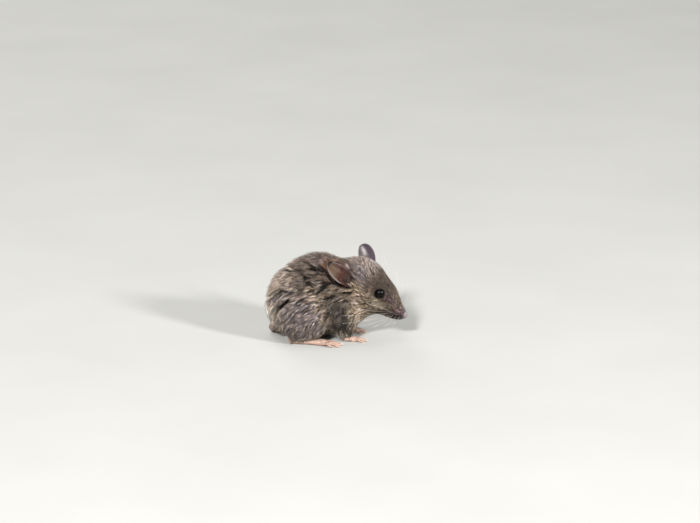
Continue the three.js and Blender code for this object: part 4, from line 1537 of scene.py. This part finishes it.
def finish_place(mesh):
    """From millimetres round the datum to metres in the row's frame."""
    mesh.transform(Matrix.Translation(DATUM * MM) @ Matrix.Scale(MM, 4))


def plant(name, coat, chosen, collection, material, width, parted=False):
    """One piece of the chosen tufts. Where the coat is parted, its hairs know how deep in a gap they are."""
    rng = np.random.default_rng(len(name))
    coat = {key: coat[key][chosen] for key in ("roots", "up", "heading", "reach", "height", "bend", "uv",
                                               "shade", "colour")}
    count = len(coat["roots"])
    mesh = bpy.data.meshes.new(name)
    mesh.from_pydata(coat["roots"].tolist(), [], [])
    # each tuft's colour times its shade, which holds painted shade at lock edges and in gaps
    marking_and_shade = np.column_stack([coat["colour"] * coat["shade"][:, None], np.ones(count)])
    give(mesh, "up", coat["up"], "FLOAT_VECTOR")
    give(mesh, "heading", coat["heading"], "FLOAT_VECTOR")
    size = np.column_stack([coat["reach"], coat["reach"] * width, coat["height"]])
    give(mesh, "size", size, "FLOAT_VECTOR")
    give(mesh, "bend", coat["bend"], "FLOAT_VECTOR")
    give(mesh, "root_uv", coat["uv"], "FLOAT2")
    give(mesh, "chance", rng.uniform(size=count))
    give(mesh, "variant", rng.integers(0, len(collection.objects), count), "INT")
    give(mesh, "marking_and_shade", marking_and_shade, "FLOAT_COLOR")
    result = made_by(planting, name, mesh, {"Tufts": collection, "Finish": material})
    points = read(result)
    under = points[:, 2] < FLOOR_CLEARANCE
    points[under, 2] = FLOOR_CLEARANCE + (points[under, 2] - FLOOR_CLEARANCE) * PRESSED
    write(result, points)
    give(result, "gap", parting(points)[0] if parted else np.zeros(len(points)))
    finish_place(result)
    return new_object(name, result)


print("hair is pressed flat below", FLOOR_CLEARANCE, "mm")

# %% [markdown]
# ## Finishes
# The hair is keratin: a dark root, a banded shaft and a soft gloss along it. Blender has a shader for hair, but
# other programs don't read it, so the plain Principled shader is used all over. The hair's colour comes from
# the markings that the roots carry, and the material adds only what changes along a strand and from strand to
# strand. Skin under short fur needs stubble and bump only, and bare skin needs its grain, a faint glow where it
# is thin, and a gloss.
# The markings that the roots carry also hold painted light: shade at lock edges, in gaps and under the jaw, and
# highlights on the ears, nose and rump.

# %% Keratin hair
# Agouti keratin is banded dark, buff and dark again. It gives the eye a grizzled brown with a broken sheen.
HAIR_ROUGHNESS, KERATIN_IOR, HAIR_GLOSS = 0.5, 1.55, 0.35
TICKED_SHARE = 0.55  # of the strands have a dark tip, and the rest a pale one
MULTIPLY = {"data_type": "RGBA", "blend_type": "MULTIPLY"}
hair_finish, tree, shader = new_material("agouti_keratin_hair")
carried = {name: add_node(tree, "ShaderNodeAttribute", attribute_name=name).outputs for name in (
    "marking_and_shade", "along", "strand", "chance", "gap")}
print("the hair's finish reads:", list(carried))

# %% Three dice for each strand or tuft
strand_dice = add_node(tree, "ShaderNodeMath", {
    0: carried["chance"]["Fac"], 1: 7.31, 2: carried["strand"]["Fac"]}, operation="MULTIPLY_ADD")
dice = {}
for name, source, spread in (
    ("value", strand_dice.outputs[0], 1.0), ("ticking", strand_dice.outputs[0], 5.3),
    ("hue", carried["chance"]["Fac"], 3.7),
):
    spun = add_node(tree, "ShaderNodeMath", {0: source, 1: spread}, operation="MULTIPLY")
    dice[name] = add_node(tree, "ShaderNodeMath", {0: spun.outputs[0]}, operation="FRACT").outputs[0]
print("dice:", list(dice))

# %% The bands along a strand, and how strands differ
ramps = {}
for name, source, stops in (
    ("ticked", carried["along"]["Fac"],
     [(0.0, 0.2), (0.3, 0.5), (0.5, 1.15), (0.72, 1.3), (0.84, 0.4), (1.0, 0.22)]),
    ("pale_tipped", carried["along"]["Fac"], [(0.0, 0.22), (0.35, 0.5), (0.6, 0.95), (0.85, 1.25), (1.0, 1.3)]),
    ("value", dice["value"], [(0.0, 0.45), (0.2, 0.7), (0.5, 1.0), (0.8, 1.15), (1.0, 1.6)]),
    ("hue", dice["hue"], [(0.0, "f2dfc4"), (0.45, "fdf8f4"), (0.7, "ffffff"), (1.0, "f0eaf8")]),
):
    ramps[name] = fill_ramp(add_node(tree, "ShaderNodeValToRGB", {"Fac": source}), stops)
is_ticked = add_node(tree, "ShaderNodeMath", {0: dice["ticking"], 1: TICKED_SHARE}, operation="LESS_THAN")
bands = add_node(tree, "ShaderNodeMix", {
    0: is_ticked.outputs[0], 6: ramps["pale_tipped"], 7: ramps["ticked"]}, data_type="RGBA").outputs[2]
shade = add_node(tree, "ShaderNodeMix", {0: 1.0, 6: ramps["value"], 7: bands}, **MULTIPLY).outputs[2]
tinted = add_node(tree, "ShaderNodeMix", {0: 1.0, 6: shade, 7: ramps["hue"]}, **MULTIPLY).outputs[2]
coloured = add_node(tree, "ShaderNodeMix", {
    0: 1.0, 6: carried["marking_and_shade"]["Color"], 7: tinted}, **MULTIPLY, clamp_result=False).outputs[2]
print("bands and differences:", list(ramps))

# %% The shade in the gaps between locks
GAP_COLOUR, GAP_SHARE = "0c0907", 0.93
in_gap = add_node(tree, "ShaderNodeMath", {0: carried["gap"]["Fac"], 1: GAP_SHARE}, operation="MULTIPLY")
deepened = add_node(tree, "ShaderNodeMix", {
    0: in_gap.outputs[0], 6: coloured, 7: (*linear(GAP_COLOUR), 1)}, data_type="RGBA")
tree.links.new(deepened.outputs[2], shader.inputs["Base Color"])
shader.inputs["Roughness"].default_value = HAIR_ROUGHNESS
shader.inputs["IOR"].default_value = KERATIN_IOR
shader.inputs["Specular IOR Level"].default_value = HAIR_GLOSS
print("nodes in the hair's finish:", len(tree.nodes))

# %% Skin under the fur
# Skin with clipped stubble shows between the locks as a dull, finely speckled ground with no shine.
STUBBLE, STUBBLE_HEIGHT = 0.25, 0.06  # mm between the finest hairs, and how high they stand
skin_finish, tree, shader = new_material("skin_under_short_fur")
place = add_node(tree, "ShaderNodeTexCoord").outputs["Object"]
marking_and_shade = add_node(tree, "ShaderNodeAttribute", attribute_name="marking_and_shade").outputs["Color"]
stubble = add_node(tree, "ShaderNodeTexNoise", {
    "Vector": place, "Scale": 1 / (STUBBLE * MM), "Detail": 3.0}).outputs["Fac"]
speckle = fill_ramp(add_node(tree, "ShaderNodeValToRGB", {"Fac": stubble}), [(0.35, 0.55), (0.65, 1.15)])
coloured = add_node(tree, "ShaderNodeMix", {0: 1.0, 6: marking_and_shade, 7: speckle}, **MULTIPLY)
bump = add_node(tree, "ShaderNodeBump", {
    "Height": stubble, "Strength": 0.5, "Distance": STUBBLE_HEIGHT * MM})
tree.links.new(coloured.outputs[2], shader.inputs["Base Color"])
tree.links.new(bump.outputs[0], shader.inputs["Normal"])
shader.inputs["Roughness"].default_value = 0.7
shader.inputs["Specular IOR Level"].default_value = 0.12
print("stubble, mm:", STUBBLE)

# %% Bare skin of the ears, feet and tail, and the moist nose
# Thin ear skin is dull and lets a little light through. Foot skin is pink, soft and finely grained. Tail skin
# is scaly and a little glossier. The nose is pebbled leather with a moist gloss.
BARE_SKIN = (  # name, grain in mm, roughness, how much light goes through and how glossy
    ("thin_ear_skin", 0.35, 0.6, 0.25, 0.16),
    ("pink_foot_skin", 0.22, 0.5, 0.15, 0.4),
    ("scaly_tail_skin", 0.18, 0.55, 0.08, 0.4),
    ("moist_nose_leather", 0.16, 0.38, 0.15, 0.5),
)
GRAIN_HEIGHT = 0.05  # mm
BLOOD_RADIUS, LIGHT_DEPTH = (1.0, 0.35, 0.2), 0.4  # red goes deepest, up to so many mm
bare_finishes = {}
for name, grain, roughness, thin, gloss in BARE_SKIN:
    finish, tree, shader = new_material(name)
    place = add_node(tree, "ShaderNodeTexCoord").outputs["Object"]
    marking_and_shade = add_node(tree, "ShaderNodeAttribute", attribute_name="marking_and_shade").outputs["Color"]
    cells = add_node(tree, "ShaderNodeTexVoronoi", {"Vector": place, "Scale": 1 / (grain * MM)})
    cloud = add_node(tree, "ShaderNodeTexNoise", {
        "Vector": place, "Scale": 0.6 / (grain * MM), "Detail": 4.0}).outputs["Fac"]
    blotch = fill_ramp(add_node(tree, "ShaderNodeValToRGB", {"Fac": cloud}), [(0.3, 0.72), (0.7, 1.18)])
    coloured = add_node(tree, "ShaderNodeMix", {0: 1.0, 6: marking_and_shade, 7: blotch}, **MULTIPLY)
    bump = add_node(tree, "ShaderNodeBump", {
        "Height": cells.outputs["Distance"], "Strength": 0.35, "Distance": GRAIN_HEIGHT * MM})
    tree.links.new(coloured.outputs[2], shader.inputs["Base Color"])
    tree.links.new(bump.outputs[0], shader.inputs["Normal"])
    shader.inputs["Roughness"].default_value = roughness
    shader.inputs["Specular IOR Level"].default_value = gloss
    shader.inputs["Subsurface Weight"].default_value = thin
    shader.inputs["Subsurface Radius"].default_value = BLOOD_RADIUS
    shader.inputs["Subsurface Scale"].default_value = LIGHT_DEPTH * MM
    bare_finishes[name] = finish
print("bare finishes:", list(bare_finishes))

# %% The finished skin
NOSE_LENGTH = 1.9  # mm of bare leather from the tip of the nose
UNDER_COAT = 0.42  # how bright the skin is in the shade of the coat


def shade_smooth(mesh):
    mesh.polygons.foreach_set("use_smooth", np.ones(len(mesh.polygons), bool))


skin.materials.clear()
for finish in (skin_finish, *bare_finishes.values()):
    skin.materials.append(finish)
face_corners = np.array([list(p.vertices) for p in skin.polygons])
which = np.zeros(len(face_corners), np.int32)
on_nose = (skin_head[:, 0] > -NOSE_LENGTH) & (face_share > 0.5)
for index, mask in enumerate((on_ear, on_paw, on_tail, on_nose), 1):
    which[mask[face_corners].all(axis=1)] = index
skin.polygons.foreach_set("material_index", which)
shade_smooth(skin)
uncovered = np.maximum(1 - body_share, np.maximum(bare, lid_band * face_share))
# painted shade on the skin where the coat parts, on top of the shade of the coat
bared = smoothed(np.where(on_body, parting(skin_points)[0], 0), skin_edges, 2)
gap_shade = (1 - 0.92 * np.minimum(bared * 1.3, 1)) ** 2
skin_marking_and_shade = skin_colour * (UNDER_COAT + (1 - UNDER_COAT) * uncovered)[:, None] * gap_shade[:, None]
give(skin, "marking_and_shade", np.column_stack([skin_marking_and_shade, np.ones(len(skin_marking_and_shade))]), "FLOAT_COLOR")
finish_place(skin)
print("faces of each finish:", np.bincount(which).tolist())

# %% Share the coat out into pieces
FACE_END = -12.5  # in the head's frame, mm
MIDDLE_X, TOP = -7.0, 14.0  # where the body's coat is shared between rear and front, and between high and low
TUFT_WIDTH, FINE_TUFT_WIDTH = 0.85, 1.4  # of a tuft's length
roots = body_coat["roots"]
root_head = to_head(roots)
on_head = body_coat["face"] > 0.5
in_front = root_head[:, 0] > FACE_END
patches = {}
for name, is_place in (("face", on_head & in_front), ("crown", on_head & ~in_front)):
    for side, is_side in (("right", root_head[:, 1] < 0), ("left", root_head[:, 1] >= 0)):
        patches[f"coat_{name}_{side}"] = is_place & is_side
for side, is_side in (("right", roots[:, 1] < 0), ("left", roots[:, 1] >= 0)):
    for end, is_end in (("rear", roots[:, 0] < MIDDLE_X), ("front", roots[:, 0] >= MIDDLE_X)):
        for level, is_level in (("high", roots[:, 2] > TOP), ("low", roots[:, 2] <= TOP)):
            patches[f"coat_{end}_{level}_{side}"] = ~on_head & is_side & is_end & is_level
print("pieces of the coat:", len(patches))

# %% Plant the coat
coat_pieces = {}
for name, chosen in patches.items():
    on_trunk = name.startswith(("coat_rear", "coat_front"))
    coat_pieces[name] = plant(name, body_coat, chosen, tufts, hair_finish, TUFT_WIDTH, parted=on_trunk)
every_tuft = np.ones(len(fine_coat["roots"]), bool)
coat_pieces["coat_fine"] = plant("coat_fine", fine_coat, every_tuft, fine_tufts, hair_finish, FINE_TUFT_WIDTH)
triangles = {name: len(piece.data.polygons) for name, piece in coat_pieces.items()}
print("coat:", triangles, "in all", sum(triangles.values()))

# %% [markdown]
# ## Eyes
# The eye of a mouse is a black bead with a wet gloss, set deep and held by dark lids. A fine ball is right for
# it, turned so that its pole is the pupil, and it goes far enough into the skin that no gap shows at the lids.

# %% A wet, black eye
# A wet cornea over black gives the eye a nearly black ball that returns only small hard glints of the panels.
WET_ROUGHNESS, CORNEA_IOR = 0.06, 1.22  # the low index keeps the glints small
eye_finish, tree, shader = new_material("wet_black_eye")
from_pupil = add_node(tree, "ShaderNodeAttribute", attribute_name="from_pupil").outputs["Fac"]
iris = fill_ramp(add_node(tree, "ShaderNodeValToRGB", {"Fac": from_pupil}),
                 [(0.0, "020202"), (0.4, "030303"), (0.62, "060404"), (1.0, "040303")])
tree.links.new(iris, shader.inputs["Base Color"])
shader.inputs["Roughness"].default_value = WET_ROUGHNESS
shader.inputs["IOR"].default_value = CORNEA_IOR
print("roughness of the eye:", WET_ROUGHNESS)

# %% Eyeballs
EYE_ROUND, EYE_ROWS = 48, 24
round_axis = np.arange(EYE_ROUND) / EYE_ROUND * 2 * math.pi
from_pole = np.arange(1, EYE_ROWS)[:, None] / EYE_ROWS * math.pi
rings = np.stack([
    np.sin(from_pole) * np.cos(round_axis), np.sin(from_pole) * np.sin(round_axis),
    np.cos(from_pole) * np.ones(EYE_ROUND)], axis=-1)
eyeball = np.concatenate([rings.reshape(-1, 3), [[0, 0, 1], [0, 0, -1]]])
eye_pieces = {}
for side, axis in eye_axes.items():
    turn = np.array(Vector(axis).to_track_quat("Z", "Y").to_matrix())
    mesh = mesh_of(eyes[side] + EYE_RADIUS * eyeball @ turn.T, ring_faces(EYE_ROWS - 1, EYE_ROUND, False))
    mesh.name = f"eye_{side}"
    give(mesh, "from_pupil", np.arccos(eyeball[:, 2]) / math.pi * 2)
    finish_place(mesh)
    mesh.materials.append(eye_finish)
    eye_pieces[side] = new_object(f"eyeball_{side}", mesh)
print("eyeballs:", len(eye_pieces), "of", EYE_RADIUS * 2, "mm")

# %% [markdown]
# ## Whiskers and claws
# Both are thin rods of keratin that taper along a curve. Curve objects could be drawn one by one, but one tree
# of nodes draws them all: lines become curves, and each curve becomes a closed tube whose radius the line's
# points carry.

# %% The tree that draws tapering rods
drawing = bpy.data.node_groups.new("draw_tapering_rods", "GeometryNodeTree")
drawing.interface.new_socket("Lines", in_out="INPUT", socket_type="NodeSocketGeometry")
drawing.interface.new_socket("Sides", in_out="INPUT", socket_type="NodeSocketInt").default_value = 6
drawing.interface.new_socket("Finish", in_out="INPUT", socket_type="NodeSocketMaterial")
drawing.interface.new_socket("Rods", in_out="OUTPUT", socket_type="NodeSocketGeometry")
given = add_node(drawing, "NodeGroupInput").outputs
radius = add_node(drawing, "GeometryNodeInputNamedAttribute", {"Name": "radius"}, data_type="FLOAT").outputs[0]
curves = add_node(drawing, "GeometryNodeMeshToCurve", {"Mesh": given["Lines"]}).outputs[0]
sized = add_node(drawing, "GeometryNodeSetCurveRadius", {"Curve": curves, "Radius": radius}).outputs[0]
profile = add_node(drawing, "GeometryNodeCurvePrimitiveCircle", {
    "Resolution": given["Sides"], "Radius": 1.0}).outputs[0]
rods = add_node(drawing, "GeometryNodeCurveToMesh", {
    "Curve": sized, "Profile Curve": profile, "Scale": radius, "Fill Caps": True}).outputs[0]
real = add_node(drawing, "GeometryNodeRealizeInstances", {"Geometry": rods}).outputs[0]
dressed = add_node(drawing, "GeometryNodeSetMaterial", {"Geometry": real, "Material": given["Finish"]})
add_node(drawing, "NodeGroupOutput", {"Rods": dressed.outputs[0]})
print("inputs of the drawing tree:", list(sockets_of(drawing)))


# %% Rods along lines, and the keratin of whiskers and claws
# A whisker's keratin is dark at its root and clears to a pale tip. Claw horn is pink where it covers the quick
# and turns a pale yellow at its tip. Both have an even, fairly sharp gloss.
def rods_along(name, lines, radii, material, sides):
    """A plain mesh of rods, one along each line, whose radii go from the first to the last of the two."""
    starts = np.cumsum([0] + [len(line) for line in lines])
    edges = [(i, i + 1) for a, b in zip(starts[:-1], starts[1:]) for i in range(a, b - 1)]
    mesh = bpy.data.meshes.new(name)
    mesh.from_pydata(np.concatenate(lines).tolist(), edges, [])
    along = np.concatenate([np.linspace(0, 1, len(line)) for line in lines])
    give(mesh, "radius", radii[0] + (radii[1] - radii[0]) * along)
    give(mesh, "along", along)
    result = made_by(drawing, name, mesh, {"Sides": sides, "Finish": material})
    finish_place(result)
    turn_outwards(result)
    shade_smooth(result)
    return new_object(name, result)


keratin_finishes = {}
for name, stops in (
    ("whisker_keratin", [(0.0, "4a3f38"), (0.35, "8c8074"), (1.0, "d9d2c6")]),
    ("translucent_claw_horn", [(0.0, "a5806f"), (0.5, "b7a08b"), (1.0, "cfc2b0")]),
):
    finish, tree, shader = new_material(name)
    along = add_node(tree, "ShaderNodeAttribute", attribute_name="along").outputs["Fac"]
    colour = fill_ramp(add_node(tree, "ShaderNodeValToRGB", {"Fac": along}), stops)
    tree.links.new(colour, shader.inputs["Base Color"])
    shader.inputs["Roughness"].default_value = 0.35
    shader.inputs["IOR"].default_value = KERATIN_IOR
    keratin_finishes[name] = finish
print("keratin finishes:", list(keratin_finishes))

# %% Whiskers
WHISKER_ROWS, WHISKERS_IN_ROW = 4, 5
WHISKER_RADII = (0.055, 0.012)  # mm at the root and at the tip
SHORTEST_WHISKER, LONGER_BEHIND = 4.0, 13.0  # mm, and how much longer the hindmost are
ROOT_DEPTH, WHISKER_CLEARANCE = 0.1, 0.4
BOW = unit(-head_x + [0, 0, 0.15]) * 0.32 + np.array([0, 0, -0.1])


def from_head(points):
    return nose_tip + np.asarray(points, float) @ head_axes


rng = np.random.default_rng(8)
whisker_lines = []
t = np.linspace(0, 1, 9)[:, None]
for sign in SIDES.values():
    for row in range(WHISKER_ROWS):
        for k in range(WHISKERS_IN_ROW):
            back = k / (WHISKERS_IN_ROW - 1)
            height = 0.6 - 0.55 * row + rng.normal(0, 0.08)
            spot = np.array([-2.7 - 3.4 * back, sign * (1.7 + 1.1 * back), height])
            start, outward, _, _ = skin_tree.find_nearest(Vector(from_head(spot)))
            size = (SHORTEST_WHISKER + LONGER_BEHIND * back**1.2) * rng.uniform(0.8, 1.1)
            fan = np.array([0.25 - 0.95 * back, sign * 0.9, 0.45 - 0.28 * row])
            heading = unit((unit(fan) @ head_axes) + 0.3 * np.array(outward) + rng.normal(0, 0.05, 3))
            line = np.array(start) - np.array(outward) * ROOT_DEPTH + size * (heading * t + BOW * t**2)
            line[:, 2] = np.maximum(line[:, 2], WHISKER_CLEARANCE + 0.1 * t[:, 0])
            whisker_lines.append(line)
whiskers = rods_along("whiskers", whisker_lines, WHISKER_RADII, keratin_finishes["whisker_keratin"], sides=5)
print("whiskers:", len(whisker_lines))

# %% Claws
CLAW_LENGTH, CLAW_RADII = 1.15, (0.24, 0.03)
CLAW_ARCH, CLAW_DROP = 0.22, 0.42
claw_lines = []
t = np.linspace(0, 1, 8)[:, None]
arch = np.array([0, 0, 1]) * (CLAW_ARCH * np.sin(t * 2.2) - CLAW_DROP * t**2)
for tip, out in toe_tips:
    line = tip + out * (0.05 + CLAW_LENGTH * t) + arch
    line[:, 2] = np.maximum(line[:, 2], CLAW_RADII[0] + (CLAW_RADII[1] - CLAW_RADII[0]) * t[:, 0] + 0.01)
    claw_lines.append(line)
claws = rods_along("claws", claw_lines, CLAW_RADII, keratin_finishes["translucent_claw_horn"], sides=8)
print("claws:", len(claw_lines))

# %% [markdown]
# ## Attach the pieces
# Each piece rides on the one body, and the solids of the flesh and the eyes are hidden.

# %% Ride and replace
FLESH_NODES = [n for n in frame["nodes"] if not n.startswith("eye_")]
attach(skin_object, "root")
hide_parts(*FLESH_NODES)
for side, piece in eye_pieces.items():
    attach(piece, "root")
    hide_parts(f"eye_{side}")
for piece in coat_pieces.values():
    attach(piece, "root")
for piece, finish in ((whiskers, "whisker"), (claws, "claw")):
    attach(piece, "root")
